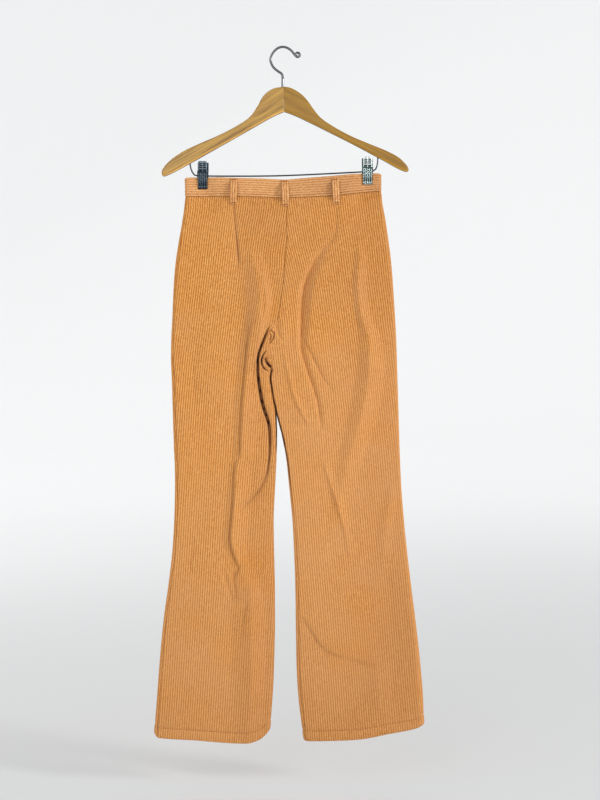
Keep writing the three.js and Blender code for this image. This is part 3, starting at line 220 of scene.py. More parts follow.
        (-1067.8, 71.2, 2, 6.4, 6), (-1076.7, 84.9, 1.8, 8.6, 8), (-1081.3, 98.8, 1.7, 14, 11), (-1084.6, 113, 1.3, 14, 11),
        (-1089.2, 128.2, 1.6, 14, 12), (-1096.3, 147.7, 1.2, 15, 13), (-1103.4, 167.3, 0, 15, 13)),
    ("right_calf_swell", 1, "back", "facet"): rows("z x depth wl wr",
        (-1080.3, 158.4, 0, 20, 24), (-1103.4, 165.5, -1.6, 24, 26), (-1133.7, 169.1, -2.2, 26, 24),
        (-1163.9, 169.1, -1.4, 26, 22), (-1196, 169.1, 0, 24, 20)),
    ("right_side_fold", 1, "back", "facet"): rows("z x depth wl wr",
        (-889.8, 215.4, 0, 24, 10), (-929, 222.5, -2.4, 30, 10), (-982.4, 227.8, -4.2, 36, 10), (-1071.4, 235, -4.8, 38, 10),
        (-1160.4, 240.3, -3.6, 38, 10), (-1219.1, 243.9, -1.6, 36, 10)),
    ("right_seat_swell", 1, "back", "soft"): rows("z x depth wl wr",
        (-430.6, 10.7, 0, 10, 12), (-466.2, 7.1, -1.6, 8, 12), (-510.7, 0, -1.8, 8, 12), (-546.3, -3.6, 0, 8, 12)),
    ("crotch_loop", 1, "back", "slit"): rows("z x depth wl wr",
        (-501.4, -26.7, 0, 1.2, 1.2), (-504.5, -20.5, 3.4, 1.8, 1.8), (-508.9, -15.3, 3.8, 1.1, 1.1),
        (-516.9, -16.7, 3.8, 1, 1), (-524, -22.1, 3.6, 1.2, 1.2), (-530.3, -30.3, 0, 1.4, 1.4)),
    ("crotch_loop_inner", 1, "back", "slit"): rows("z x depth wl wr",
        (-507.7, -25.3, 0, 1.2, 1.2), (-510.7, -21.4, 3.2, 1.1, 1.1), (-516, -21.4, 3.4, 1, 1), (-522.3, -26, 3, 1.2, 1.2),
        (-526.7, -31.2, 0, 1.3, 1.3)),
    ("crotch_pinch", 1, "back", "soft"): rows("z x depth wl wr",
        (-480.4, -7.1, 0, 3, 3), (-494.7, -11.6, 1.6, 3, 3.4), (-507.1, -8.9, 1.8, 3, 3.4), (-521.4, -1.8, 1, 3, 3.4),
        (-533.8, 3.6, 0, 3, 3)),
    ("left_side_fold", -1, "back", "soft"): rows("z x depth wl wr",
        (-419.9, -149.5, 0, 20, 20), (-519.6, -156.6, 1, 22, 18), (-619.3, -151.3, 1.4, 20, 18), (-740.3, -149.5, 1, 20, 18),
        (-879.1, -160.2, 0.4, 20, 18), (-959.2, -163.8, 0, 20, 18)),
    ("front_left_thigh_fold", -1, "front", "soft"): rows("z x depth wl wr",
        (-400, -120, 0, 14, 14), (-480, -84, 3, 15, 15), (-560, -62, 4.5, 14, 14), (-640, -60, 3.3, 14, 14), (-760, -78, 2.4, 16, 16),
        (-900, -96, 3.3, 14, 14), (-1000, -104, 1.8, 18, 18), (-1180, -120, 0, 20, 20)),
    ("front_right_thigh_fold", 1, "front", "soft"): rows("z x depth wl wr",
        (-420, 116, 0, 14, 14), (-500, 66, 3.6, 14, 14), (-560, 40, 4.5, 13, 13), (-640, 52, 3, 15, 15), (-780, 86, 2.1, 16, 16),
        (-920, 112, 3.3, 15, 15), (-1040, 124, 1.5, 20, 20), (-1180, 140, 0, 22, 22)),
    ("front_left_drag", -1, "front", "soft"): rows("z x depth wl wr",
        (-460, -70, 0, 8, 8), (-490, -46, -2.7, 8, 8), (-520, -32, -3.3, 8, 8), (-548, -26, 0, 8, 8)),
    ("front_right_drag", 1, "front", "soft"): rows("z x depth wl wr",
        (-455, 44, 0, 8, 8), (-490, 18, -3, 8, 8), (-520, -4, -3.3, 8, 8), (-545, -14, 0, 8, 8)),
    ("front_left_knee", -1, "front", "soft"): rows("z x depth wl wr",
        (-850, -150, 0, 10, 12), (-890, -120, 2.4, 9, 12), (-925, -84, 2.7, 9, 12), (-960, -50, 0, 10, 12)),
    ("front_right_knee", 1, "front", "soft"): rows("z x depth wl wr",
        (-870, 70, 0, 10, 12), (-905, 96, 2.55, 9, 12), (-940, 140, 2.4, 9, 12), (-970, 180, 0, 10, 12)),
}
# Creases that run across: z of the line by x, depth, and widths above and below it.
LEVEL_FOLDS = {
    ("right_thigh_mark", 1, "back"): rows("x z depth up down",
        (2, -671, 0, 5, 2.6), (14, -672.5, 1.1, 6, 2.6), (40, -673.5, 1.3, 6, 2.6), (60, -672, 1.1, 6, 2.6), (69, -670, 0, 5, 2.6)),
}
# How far the cloth has faded, and how much painted shade it carries, by height, on the left and the right leg.
FADE = rows("z left right", (-265, 0.2, 0.15), (-400, 0.15, 0.15), (-500, 0.2, 0.3), (-560, 0.35, 0.8), (-700, 0.4, 1),
    (-860, 0.65, 1), (-1000, 0.8, 0.9), (-1100, 0.95, 0.95), (-1228, 0.85, 0.6))
PAINTED_SHADE = rows("z left right", (-265, 0.35, 0.6), (-400, 0.1, 0.5), (-540, 0.05, 0.15), (-700, 0.05, 0.1), (-860, 0.1, 0.12),
    (-1000, 0.3, 0.3), (-1100, 0.4, 0.45), (-1228, 0.7, 0.9))
OUTSEAM_TURN = 5.0
INSEAM_TURN = 5.0
CLIP_X = {-1: -142.6, 1: 150.4}
CLIP_Z = {-1: -227.1, 1: -219.2}
PINCH_DEPTH, PINCH_REACH = 2.95, 19.0

left_outer, right_outer = curve(SECTIONS, "z", "left"), curve(SECTIONS, "z", "right")
depth_of = {"back": curve(SECTIONS, "z", "back"), "front": curve(SECTIONS, "z", "front")}
edge_length = curve(SECTIONS, "z", "edge")
centre_of = {"back": curve(CENTRE, "z", "back"), "front": curve(CENTRE, "z", "front")}
inner_left, inner_right = curve(INNER, "z", "left"), curve(INNER, "z", "right")
band_top, band_seam = curve(WAIST, "x", "top"), curve(WAIST, "x", "seam")
hem_of = {-1: curve(HEM_LEFT, "x", "z"), 1: curve(HEM_RIGHT, "x", "z")}
closed_rows = sorted((r["z"], r["closed"]) for r in CROTCH)
folds = [dict(name=k[0], leg=k[1], face=k[2], form=k[3], top=v[0]["z"], low=v[-1]["z"],
              **{c: curve(v, "z", c) for c in ("x", "depth", "wl", "wr")}) for k, v in FOLDS.items()]


level_folds = [dict(leg=k[1], face=k[2], left=v[0]["x"], right=v[-1]["x"], **{c: curve(v, "x", c) for c in ("z", "depth", "up", "down")})
               for k, v in LEVEL_FOLDS.items()]
fade_of = {-1: curve(FADE, "z", "left"), 1: curve(FADE, "z", "right")}
painted_shade_of = {-1: curve(PAINTED_SHADE, "z", "left"), 1: curve(PAINTED_SHADE, "z", "right")}


def closed(z):
    return np.interp(z, [r[0] for r in closed_rows], [r[1] for r in closed_rows])


def outer_x(leg, z):
    return left_outer(z) if leg < 0 else right_outer(z)


def inner_x(leg, face, z):
    z = np.asarray(z, float)
    low = z <= -556
    # below the crotch the two thighs press on each other; the rolled seams are carried past the line where they meet
    meet = smooth((z + 668) / 26) * 1.35
    join = smooth((-500 - z) / 12) * 1.1 if face == "back" else 0.0
    return np.where(low, (inner_left(z) if leg < 0 else inner_right(z)) + leg * (0.2 - meet), centre_of[face](z) + leg * (0.03 - join))


def rounding(d, length):
    return np.sqrt(np.clip(1 - np.clip(1 - d / length, 0, 1) ** 2, 0, 1))


def section(d, fold):
    """Half thickness of a hung tube at a distance d from its folded side, as a share of the full one."""
    return 0.58 * rounding(d, fold) + 0.42 * (1 - (1 - np.clip(d / 90, 0, 1)) ** 2)


def across(f, x, z):
    """How strongly a crease acts at x: 1 on its line."""
    d = x - f["x"](z)
    u = np.abs(d) / np.where(d < 0, f["wl"](z), f["wr"](z))
    if f["form"] == "soft":
        return np.exp(-u ** 2)
    if f["form"] == "sharp":
        return np.exp(-(u ** 1.15))
    if f["form"] == "slit":
        return np.exp(-(u ** 3))
    lip = (1 - np.minimum(u, 1)) ** 2
    if f["form"] == "lip":
        return lip
    v = 1.04 - np.sqrt(u ** 2 + 0.0025)
    facet = 0.5 * (v + np.sqrt(v ** 2 + 0.006))
    return np.where(d < 0, lip, facet) if f["form"] == "cut" else facet


def hollow(leg, face, x, z):
    """0 on open cloth, 1 in the bottom of a slit."""
    out = np.zeros(np.broadcast(x, z).shape)
    for f in folds:
        if f["leg"] == leg and f["face"] == face and f["form"] in ("slit", "sharp"):
            on = (z <= f["top"]) & (z >= f["low"])
            if on.any():
                full = 6.5 if f["form"] == "slit" else 9.5
                out = np.maximum(out, np.where(on, np.clip(f["depth"](z) / full * across(f, x, z), 0, 1), 0))
    return out


def skin_y(leg, face, x, z):
    x, z = np.broadcast_arrays(np.asarray(x, float), np.asarray(z, float))
    xo, xi, edge, k = outer_x(leg, z), inner_x(leg, face, z), edge_length(z), closed(z)
    away, half = np.abs(x - xo), np.abs(xo - xi)
    crown = 1 - 0.12 * (1 - smooth(away / (0.75 * half)))
    inner = 1 - k + k * section(np.abs(x - xi), 3.4 + 1.2 * smooth((-650 - z) / 60))
    depth = depth_of[face](z) * section(away, 4.5) * crown * inner
    fade = 1 - smooth((-256 - z) / 60)
    pinch = np.exp(-(((x - CLIP_X[leg]) / mix(PINCH_REACH, 30, smooth((-252 - z) / 20))) ** 2 * np.abs((x - CLIP_X[leg]) / PINCH_REACH) ** 0.5)) * fade
    depth = mix(depth, np.minimum(depth, PINCH_DEPTH), pinch)
    near = rounding(away, 10) * (1 - k + k * rounding(np.abs(x - xi), 6))
    for f in folds:
        if f["leg"] != leg or f["face"] != face:
            continue
        on = (z <= f["top"]) & (z >= f["low"])
        if on.any():
            depth = depth - np.where(on, f["depth"](z) * across(f, x, z) * near, 0)
    for f in level_folds:
        if f["leg"] == leg and f["face"] == face:
            d = z - f["z"](x)
            u = np.abs(d) / np.where(d > 0, f["up"](x), f["down"](x))
            depth = depth - np.where((x > f["left"]) & (x < f["right"]), f["depth"](x) * np.exp(-(u ** 1.15)) * near, 0)
    return -depth if face == "back" else depth


HEM_NOMINAL, HEM_FADE, WAIST_NOMINAL, WAIST_FADE = -1228.0, 120.0, -265.0, 60.0


def row_z(nominal, x, leg):
    top = 1 - smooth((WAIST_NOMINAL - nominal) / WAIST_FADE)
    low = 1 - smooth((nominal - HEM_NOMINAL) / HEM_FADE)
    return nominal + top * (band_seam(x) - SEAM - WAIST_NOMINAL) + low * (hem_of[leg](x) - HEM_NOMINAL)


# ------------------------------------------------------------------ meshes
def new_object(name, verts, faces, smooth_shade=True):
    mesh = bpy.data.meshes.new(name)
    mesh.from_pydata([tuple(v) for v in verts], [], faces)
    mesh.validate()
    obj = bpy.data.objects.new(name, mesh)
    bpy.context.scene.collection.objects.link(obj)
    if smooth_shade:
        mesh.polygons.foreach_set("use_smooth", [True] * len(mesh.polygons))
    mesh.update()
    return obj


def set_attribute(obj, name, values):
    a = obj.data.attributes.new(name, "FLOAT", "POINT")
    a.data.foreach_set("value", np.asarray(values, np.float32))


def outward(obj):
    """Turns the faces of a closed mesh so that they point out."""
    m = obj.data
    n = len(m.vertices)
    co = np.empty(n * 3, np.float32)
    m.vertices.foreach_get("co", co)
    co = co.reshape(-1, 3).astype(float)
    m.calc_loop_triangles()
    t = np.empty(len(m.loop_triangles) * 3, np.int32)
    m.loop_triangles.foreach_get("vertices", t)
    t = t.reshape(-1, 3)
    vol = np.einsum("ij,ij->i", co[t[:, 0]], np.cross(co[t[:, 1]], co[t[:, 2]])).sum()
    if vol < 0:
        m.flip_normals()


def sheet_mesh(name, outer, inner, keep, attrs, every=1):
    """A closed cloth wall. outer and inner are rows x columns x 3 in mm. keep holds, for each row, the first and last
    column inside the cut; columns past them share the boundary's point, so that ribs run off at a seam. The inner face
    keeps one column in every few."""
    R, C = outer.shape[:2]
    ids = np.empty((R, C), np.int64)
    pts_o, pts_i, at, at_i = [], [], {k: [] for k in attrs}, {k: [] for k in attrs}
    n = 0
    for i in range(R):
        a, b = keep[i]
        for j in range(a, b + 1):
            pts_o.append(outer[i, j])
            for k in attrs:
                at[k].append(attrs[k][i, j])
            ids[i, j] = n
            n += 1
        ids[i, :a] = ids[i, a]
        ids[i, b + 1:] = ids[i, b]
    cols = sorted(set(range(0, C, every)) | {C - 1})
    ids_in = np.empty((R, len(cols)), np.int64)
    m = n
    for i in range(R):
        a, b = keep[i]
        last = {}
        for q, j in enumerate(cols):
            j = min(max(j, a), b)
            if j not in last:
                last[j] = m
                pts_i.append(inner[i, j])
                for k in attrs:
                    at_i[k].append(attrs[k][i, j])
                m += 1
            ids_in[i, q] = last[j]
    faces = []

    def add(*c):
        out = []
        for v in c:
            if v not in out:
                out.append(int(v))
        if len(out) > 2:
            faces.append(out)
    for i in range(R - 1):
        r0, r1 = ids[i], ids[i + 1]
        lo, hi = min(keep[i][0], keep[i + 1][0]), max(keep[i][1], keep[i + 1][1])
        for j in range(lo, hi):
            add(r0[j], r0[j + 1], r1[j + 1], r1[j])
        q0, q1 = ids_in[i], ids_in[i + 1]
        for q in range(len(cols) - 1):
            add(q0[q], q1[q], q1[q + 1], q0[q + 1])
        add(r0[0], r1[0], q1[0], q0[0])
        add(r1[-1], r0[-1], q0[-1], q1[-1])
    for i, flip in ((0, True), (R - 1, False)):
        a, b = keep[i]
        for q in range(len(cols) - 1):
            lo, hi = min(max(cols[q], a), b), min(max(cols[q + 1], a), b)
            if lo == hi:
                continue
            run = [ids[i, j] for j in range(lo, hi + 1)] + [ids_in[i, q + 1], ids_in[i, q]]
            add(*(run[::-1] if flip else run))
    verts = np.array(pts_o + pts_i) * MM
    obj = new_object(name, verts, faces)
    for k in attrs:
        set_attribute(obj, k, at[k] + at_i[k])
    set_attribute(obj, "inside", [0.0] * n + [1.0] * (m - n))
    outward(obj)
    return obj


# Heights of a rib across its width: a rounded ridge between narrow grooves.
PHASES = np.array([0.0, 0.13, 0.34, 0.66, 0.87])
HEIGHTS = np.array([0.0, 0.74, 1.0, 1.0, 0.74])


def panel(name, leg, face, per_wale, step):
    """One trouser panel with ribs, cut by its seams."""
    phases, heights = (PHASES, HEIGHTS) if per_wale == 5 else (np.array([0, 0.2, 0.5, 0.8]), np.array([0.0, 0.82, 1.0, 0.82]))
    zs = [WAIST_NOMINAL]
    while zs[-1] > HEM_NOMINAL + 1:
        z = zs[-1]
        finest = face == "back" and (-582 < z < -492 or leg < 0 and -705 < z < -492)
        fine = face == "back" and (-640 < z < -480)
        crease = face == "back" and leg > 0 and -1100 < z < -1010 or face == "back" and -690 < z <= -640
        mid = face == "back" and (-830 < z <= -690 or -1010 < z < -870 and leg < 0 or z > -400)
        zs.append(z - (1.7 if finest else 2.6 if fine else 3.0 if crease else 4.5 if mid else step))
    zs[-1] = HEM_NOMINAL
    for extra in (HEM_NOMINAL + HEM + 1.2, HEM_NOMINAL + HEM, HEM_NOMINAL + HEM - 1.2, HEM_NOMINAL + 2.5, HEM_NOMINAL + 0.8):
        zs.append(extra)
    zs = sorted(set(round(z, 2) for z in zs), reverse=True)
    grain = curve(GRAIN[(leg, face)], "z", "x")
    out_turn = -OUTSEAM_TURN if leg < 0 else OUTSEAM_TURN
    lines = []
    for nominal in zs:
        in_turn = INSEAM_TURN * float(smooth((-720 - nominal) / 180)) if leg > 0 else 0.0
        sign = -1 if face == "back" else 1

        def tip(end, side):
            z = nominal
            for _ in range(6):
                x = float(outer_x(leg, z)) if end == "outer" else float(inner_x(leg, side, z))
                z = float(row_z(nominal, x, leg))
            return x
        xo, xi = tip("outer", face), tip("inner", face)
        th = (1 - np.cos(np.linspace(0, np.pi, 1100))) / 2
        x = xi + (xo - xi) * th
        side = np.full(x.shape, sign)
        # run past the folded side to the seam when it lies on the other face, or stop short of it
        if sign * out_turn < 0:
            extra = outer_steps = xo - leg * OUTSEAM_TURN * np.linspace(0, 1, 26)[1:] ** 2
            x, side = np.append(x, extra), np.append(side, np.full(extra.shape, -sign))
        else:
            k = np.abs(x - xo) >= OUTSEAM_TURN
            x, side = x[k], side[k]
        if in_turn > 0 and sign > 0:
            extra = (xi + leg * in_turn * np.linspace(0, 1, 26)[1:] ** 2)[::-1]
            x, side = np.append(extra, x), np.append(np.full(extra.shape, -sign), side)
        elif in_turn > 0:
            k = np.abs(x - xi) >= in_turn
            x, side = x[k], side[k]
        z = row_z(nominal, x, leg)
        y = np.where(side < 0, skin_y(leg, "back", x, z), skin_y(leg, "front", x, z))
        ds = np.hypot(np.diff(x), np.diff(y))
        s = np.append(0, np.cumsum(ds))
        g = float(grain(nominal))
        on_face = side == sign
        s0 = float(np.interp(g * leg, x[on_face] * leg, s[on_face]))
        lines.append((nominal, x, y, z, s - s0))
    lo = min(l[4][0] for l in lines)
    hi = max(l[4][-1] for l in lines)
    first, last = math.floor(lo / WALE) - 1, math.ceil(hi / WALE) + 1
    wcol = (np.arange(first, last)[:, None] + phases[None, :]).ravel()
    hcol = np.tile(heights, last - first)
    C, R = len(wcol), len(lines)
    outer, inner = np.zeros((R, C, 3)), np.zeros((R, C, 3))
    wale, rib, edge_d, deep = np.zeros((R, C)), np.zeros((R, C)), np.zeros((R, C)), np.zeros((R, C))
    wear_and_sheen, fade, painted_shade = np.zeros((R, C)), np.zeros((R, C)), np.zeros((R, C))
    waves = [(rng.uniform(3.2, 5.6), rng.uniform(0, 6.28)) for _ in range(3)]
    keep = []
    for i, (nominal, x, y, z, s) in enumerate(lines):
        a_s, b_s = s[0] + SEAM / 2, s[-1] - SEAM / 2
        sc = np.clip(wcol * WALE, a_s, b_s)
        inside = np.nonzero((wcol * WALE > a_s + 0.25) & (wcol * WALE < b_s - 0.25))[0]
        a, b = inside[0] - 1, inside[-1] + 1
        keep.append((a, b))
        px, py, pz = np.interp(sc, s, x), np.interp(sc, s, y), np.interp(sc, s, z)
        h = 0.45
        tx = np.interp(sc + h, s, x) - np.interp(sc - h, s, x)
        ty = np.interp(sc + h, s, y) - np.interp(sc - h, s, y)
        ln = np.hypot(tx, ty) + 1e-9
        # outward is towards the viewer on the back and away on the front
        nx, ny = ty / ln * leg, -tx / ln * leg
        if face == "front":
            nx, ny = -nx, -ny
        # at the crotch the two backs run into each other with hardly a seam to see
        calm = smooth((-512 - nominal) / 8) * (1 - smooth((-562 - nominal) / 8)) if face == "back" else 0.0
        inner_first = leg > 0
        d_in, d_out = (sc - a_s, b_s - sc) if inner_first else (b_s - sc, sc - a_s)
        centre = smooth((nominal + 560) / 30)                        # the centre seam is pressed flat
        roll = (1 - 0.9 * calm) * (1 - 0.9 * centre) * np.exp(-((d_in / 1.5) ** 2)) + 0.45 * np.exp(-((d_out / 1.5) ** 2))
        d_edge = np.minimum(np.where(calm > 0.5, 9.0, d_in * (1 + 2.5 * centre)), d_out * 1.6)
        closed_up = 0.78 * centre * np.exp(-((d_in / 1.2) ** 2))
        lift = WALE_HIGH * np.maximum(hcol * smooth(d_edge / 1.3), closed_up) - WALE_HIGH
        lift = lift - 0.9 * roll                                     # seams roll in
        if face == "back" and nominal > -640:                        # the centre seam puckers a little
            w = sum(math.sin(nominal / l + ph) for l, ph in waves) / 3
            lift = lift + (0.9 * w + 0.35) * np.exp(-(((d_in - 5) / 5.5) ** 2)) * (1 - calm)
        # the waist seam, the pressed hem line and the folded lower edge
        top_d, hem_d = WAIST_NOMINAL - nominal, nominal - HEM_NOMINAL
        lift = lift - 0.9 * math.exp(-((top_d / 2.2) ** 2))
        lift = lift - 0.85 * math.exp(-(((hem_d - HEM) / 1.3) ** 2)) + 0.65 * float(smooth((HEM - hem_d) / 4))
        lift = lift - 0.9 * math.exp(-((hem_d / 1.6) ** 2))
        thick = CLOTH + (1.1 * float(smooth((HEM - hem_d) / 2.0)))
        pit = hollow(leg, face, px, pz)
        lift = lift * (1 - pit)                                      # the ribs are pressed flat inside a slit
        outer[i] = np.stack([px + nx * lift, py + ny * lift, pz], 1)
        inner[i] = np.stack([px - nx * (WALE_HIGH + thick), py - ny * (WALE_HIGH + thick), pz], 1)
        wale[i], rib[i], edge_d[i] = wcol, hcol, d_edge
        # painted shade in the bottom of slits and sharp creases
        deep[i] = pit
        # painted shade where the two thighs press on each other
        if face == "back":                                           # where the two thighs press on each other
            press = smooth((-566 - nominal) / 10) * (1 - smooth((-700 - nominal) / 30))
            from_edge = np.abs(px - inner_x(leg, face, pz))
            deep[i] = np.maximum(deep[i], press * (1 - smooth((from_edge - (2.7 if leg > 0 else 1.7)) / 1.5)))
            # lower down, painted shade on the inner side of the right leg, which turns away from the light
            turned = smooth((-672 - nominal) / 30) * 0.85 if leg > 0 else smooth((-690 - nominal) / 30) * 0.2
            deep[i] = np.maximum(deep[i], turned * (1 - smooth((from_edge - (2.2 if leg > 0 else 1.2)) / (3.0 if leg > 0 else 2))))
        # lighter on steep slopes away from seams: partly wear, partly painted sheen
        fx = np.interp(sc + 3, s, x) - np.interp(sc - 3, s, x)
        fy = np.interp(sc + 3, s, y) - np.interp(sc - 3, s, y)
        wear_and_sheen[i] = smooth(np.abs(fy) / (np.hypot(fx, fy) + 1e-9) / 0.42) * smooth((np.minimum(d_in, d_out) - 5) / 12)
        fade[i], painted_shade[i] = fade_of[leg](pz), painted_shade_of[leg](pz)
        if leg > 0 and face == "back":                                # painted shade: its outer side is darker
            painted_shade[i] += 0.6 * smooth((px - 60) / 150)
        if leg < 0 and face == "back":                                # painted shade where its inner side turns from the light
            painted_shade[i] += 0.5 * smooth((px + 100) / 50)
    nominal = np.array([l[0] for l in lines])
    widths = np.array([l[4][-1] - l[4][0] for l in lines])
    obj = sheet_mesh(name, outer, inner, keep, {"wale": wale, "rib": rib, "seam": edge_d, "deep": deep, "wear_and_sheen": wear_and_sheen,
                                                "fade": fade, "painted_shade": painted_shade}, every=per_wale)
    flat = (float(widths.max()) * MM, float(nominal[0] - nominal[-1]) * MM,
            float(-((widths[1:] + widths[:-1]) / 2 * np.diff(nominal)).sum()) * MM * MM)
    return obj, flat


def band_point(face, x, t):
    """Skin of the waistband at x, t from 0 at its top to 1 at its seam."""
    z = mix(band_top(x), band_seam(x) + 0.1, t)
    y = np.where(np.asarray(x) < (0 if face == "front" else 7.0),
                 skin_y(-1, face, x, np.maximum(z, -262)), skin_y(1, face, x, np.maximum(z, -262)))
    return x, y, z


def waistband():
    """A strip whose ribs run round the waist, from its lower end over the front, right side, back and left side."""
    overlap_low, overlap_high = -16.0, 20.0
    levels = []
    n_wales = 8
    for w in range(n_wales):
        for p, h in zip(PHASES, HEIGHTS):
            levels.append(((w + p) / n_wales, h))
    levels.append((1.0, 0.0))
    th = lambda n: (1 - np.cos(np.linspace(0, np.pi, n))) / 2
    outer, inner, rib, wale = [], [], [], []
    count = 230
    for t, h in levels:
        tip_l = float(outer_x(-1, max(mix(-232.4, -264.7, t), -262)))
        tip_r = float(outer_x(1, max(mix(-224.6, -255.0, t), -262)))
        segs = [("front", overlap_low + (tip_r - overlap_low) * np.sin(np.linspace(0, np.pi / 2, 900)), 0),
                ("back", tip_r + (tip_l - tip_r) * th(1800)[1:], 0),
                ("front", (tip_l + (overlap_high - tip_l) * (1 - np.cos(np.linspace(0, np.pi / 2, 900))))[1:], 1)]
        xs, ys, zs = [], [], []
        for face, x, late in segs:
            px, py, pz = band_point(face, x, t)
            if late:  # the upper end lies over the lower one
                py = py + (BAND + 0.5) * smooth((x + 34) / 14)
            xs.append(px), ys.append(py), zs.append(pz)
        x, y, z = np.concatenate(xs), np.concatenate(ys), np.concatenate(zs)
        s = np.append(0, np.cumsum(np.hypot(np.diff(x), np.diff(y))))
        # more columns at the two folded sides
        base = np.linspace(0, s[-1], count)
        sides = [s[899], s[899 + 1799]]
        more = np.concatenate([c + np.linspace(-9, 9, 19) for c in sides])
        sc = np.sort(np.concatenate([base, more]))
        px, py, pz = np.interp(sc, s, x), np.interp(sc, s, y), np.interp(sc, s, z)
        tx = np.interp(sc + 0.5, s, x) - np.interp(sc - 0.5, s, x)
        ty = np.interp(sc + 0.5, s, y) - np.interp(sc - 0.5, s, y)
        ln = np.hypot(tx, ty) + 1e-9
        nx, ny = -ty / ln, tx / ln
        low = t * 33 > 27.2
        lift = WALE_HIGH * (1.0 if low else 0.62) * (h - 1)
        edge = min(t, 1 - t) * 33
        lift -= 0.7 * math.exp(-((edge / 1.2) ** 2))
        outer.append(np.stack([px + nx * lift, py + ny * lift, pz], 1))
        thick = BAND - 0.5 * math.exp(-((edge / 1.2) ** 2))
        inner.append(np.stack([px - nx * thick, py - ny * thick, pz], 1))
        rib.append(np.full(sc.shape, h if low else 0.3 + 0.7 * h))
        wale.append(np.full(sc.shape, t * n_wales))
    outer, inner = np.array(outer), np.array(inner)
    R, C = outer.shape[:2]
    # painted shade on the back of the band, growing towards its right side, and a little on its front
    obj = sheet_mesh("waistband_cord", outer, inner, [(0, C - 1)] * R,
                     {"rib": np.array(rib), "wale": np.array(wale), "seam": np.full((R, C), 9.0), "deep": np.zeros((R, C)),
                      "painted_shade": np.where(outer[:, :, 1] < 0, 0.1 + 0.8 * smooth((outer[:, :, 0] + 40) / 130), 0.4)})
    return obj, float(s[-1]) * MM


LOOP_LIFT = rows("t lift", (0, 0), (0.1, 0), (0.2, 3.6), (0.32, 5.6), (0.62, 5.6), (0.76, 3.4), (0.87, 0), (1, 0))
loop_lift = curve(LOOP_LIFT, "t", "lift")


def belt_loop(name, x0, lean, face, drop=0.0, length=47.0, width=12.8):
    sign = -1 if face == "back" else 1
    top = float(band_top(x0)) - 0.6 - drop
    ts = np.linspace(0, 1, 58)
    phase = np.concatenate([np.arange(3)[:, None] + PHASES[None, :]]).ravel()
    cols = np.append(phase, 3.0) / 3.0
    high = np.append(np.tile(HEIGHTS, 3), 0.0)
    outer, inner, rib, wale = [], [], [], []
    for t in ts:
        z = top - length * t
        x = x0 + lean * t + (cols - 0.5) * width
        cloth = np.zeros(cols.shape)
        for d in (-2.5, 0, 2.5):
            for s in (-1, 1):
                on = (x0 + lean * t < centre_of[face](z)) == (s < 0)
                if on:
                    cloth = np.maximum(cloth, np.abs(skin_y(s, face, np.full(cols.shape, x0 + lean * t + d), np.full(cols.shape, z))))
        bulge = 0.35 * math.exp(-(((t - 0.05) / 0.035) ** 2)) + 0.35 * math.exp(-(((t - 0.94) / 0.04) ** 2))
        base = cloth + 0.35 + loop_lift(t)
        side = np.minimum(cols, 1 - cols) * width
        lift = 1.5 + 0.55 * (high - 1) - 0.7 * np.exp(-((side / 0.8) ** 2)) - bulge
        press = 0.5 * (math.exp(-(((t - 0.055) / 0.012) ** 2)) + math.exp(-(((t - 0.935) / 0.012) ** 2)))
        outer.append(np.stack([x, sign * (base + lift - press), np.full(x.shape, z)], 1))
        inner.append(np.stack([x, sign * base, np.full(x.shape, z)], 1))
        rib.append(high), wale.append(cols * 3)
    outer, inner = np.array(outer), np.array(inner)
    R, C = outer.shape[:2]
    return sheet_mesh(name, outer, inner, [(0, C - 1)] * R,
                      {"rib": np.array(rib), "wale": np.array(wale), "seam": np.full((R, C), 9.0), "deep": np.zeros((R, C))})


def placket():
    """The overlapping front edge over the opening, with a curved foot."""
    outer, inner, rib, wale = [], [], [], []
    n = 9
    cols = np.append((np.arange(n)[:, None] + PHASES[None, :]).ravel(), n) / n
    high = np.append(np.tile(HEIGHTS, n), 0.0)
    for t in np.append(np.linspace(0, 0.6, 22), 0.6 + 0.4 * np.sin(np.linspace(0, np.pi / 2, 20)[1:])):
        z = -269.5 - 165 * t
        width = 36 * math.sqrt(max(0.02, 1 - max(0.0, (t - 0.6) / 0.4) ** 2))
        x = float(centre_of["front"](z)) - 2 + 36 * cols
        cut = float(centre_of["front"](z)) - 2 + width
        h = np.where(x < cut, high, 0)
        x = np.minimum(x, cut)
        cloth = np.maximum(skin_y(-1, "front", x, z), skin_y(1, "front", x, z))
        side = np.minimum(x - x[0], cut - x)
        lift = 1.5 + 0.6 * (h - 1) - 0.8 * np.exp(-((side / 1.2) ** 2))
        outer.append(np.stack([x, cloth + 0.4 + lift, np.full(x.shape, z)], 1))
        inner.append(np.stack([x, cloth + 0.4, np.full(x.shape, z)], 1))
        rib.append(h), wale.append(cols * n)
    outer, inner = np.array(outer), np.array(inner)
    keep = []
    for r in outer:
        same = np.nonzero(np.diff(r[:, 0]) > 1e-6)[0]
        keep.append((0, same[-1] + 1))
    return sheet_mesh("fly_edge_cord", outer, inner, keep,
                      {"rib": np.array(rib), "wale": np.array(wale), "seam": np.full(outer.shape[:2], 9.0),
                       "deep": np.zeros(outer.shape[:2])})


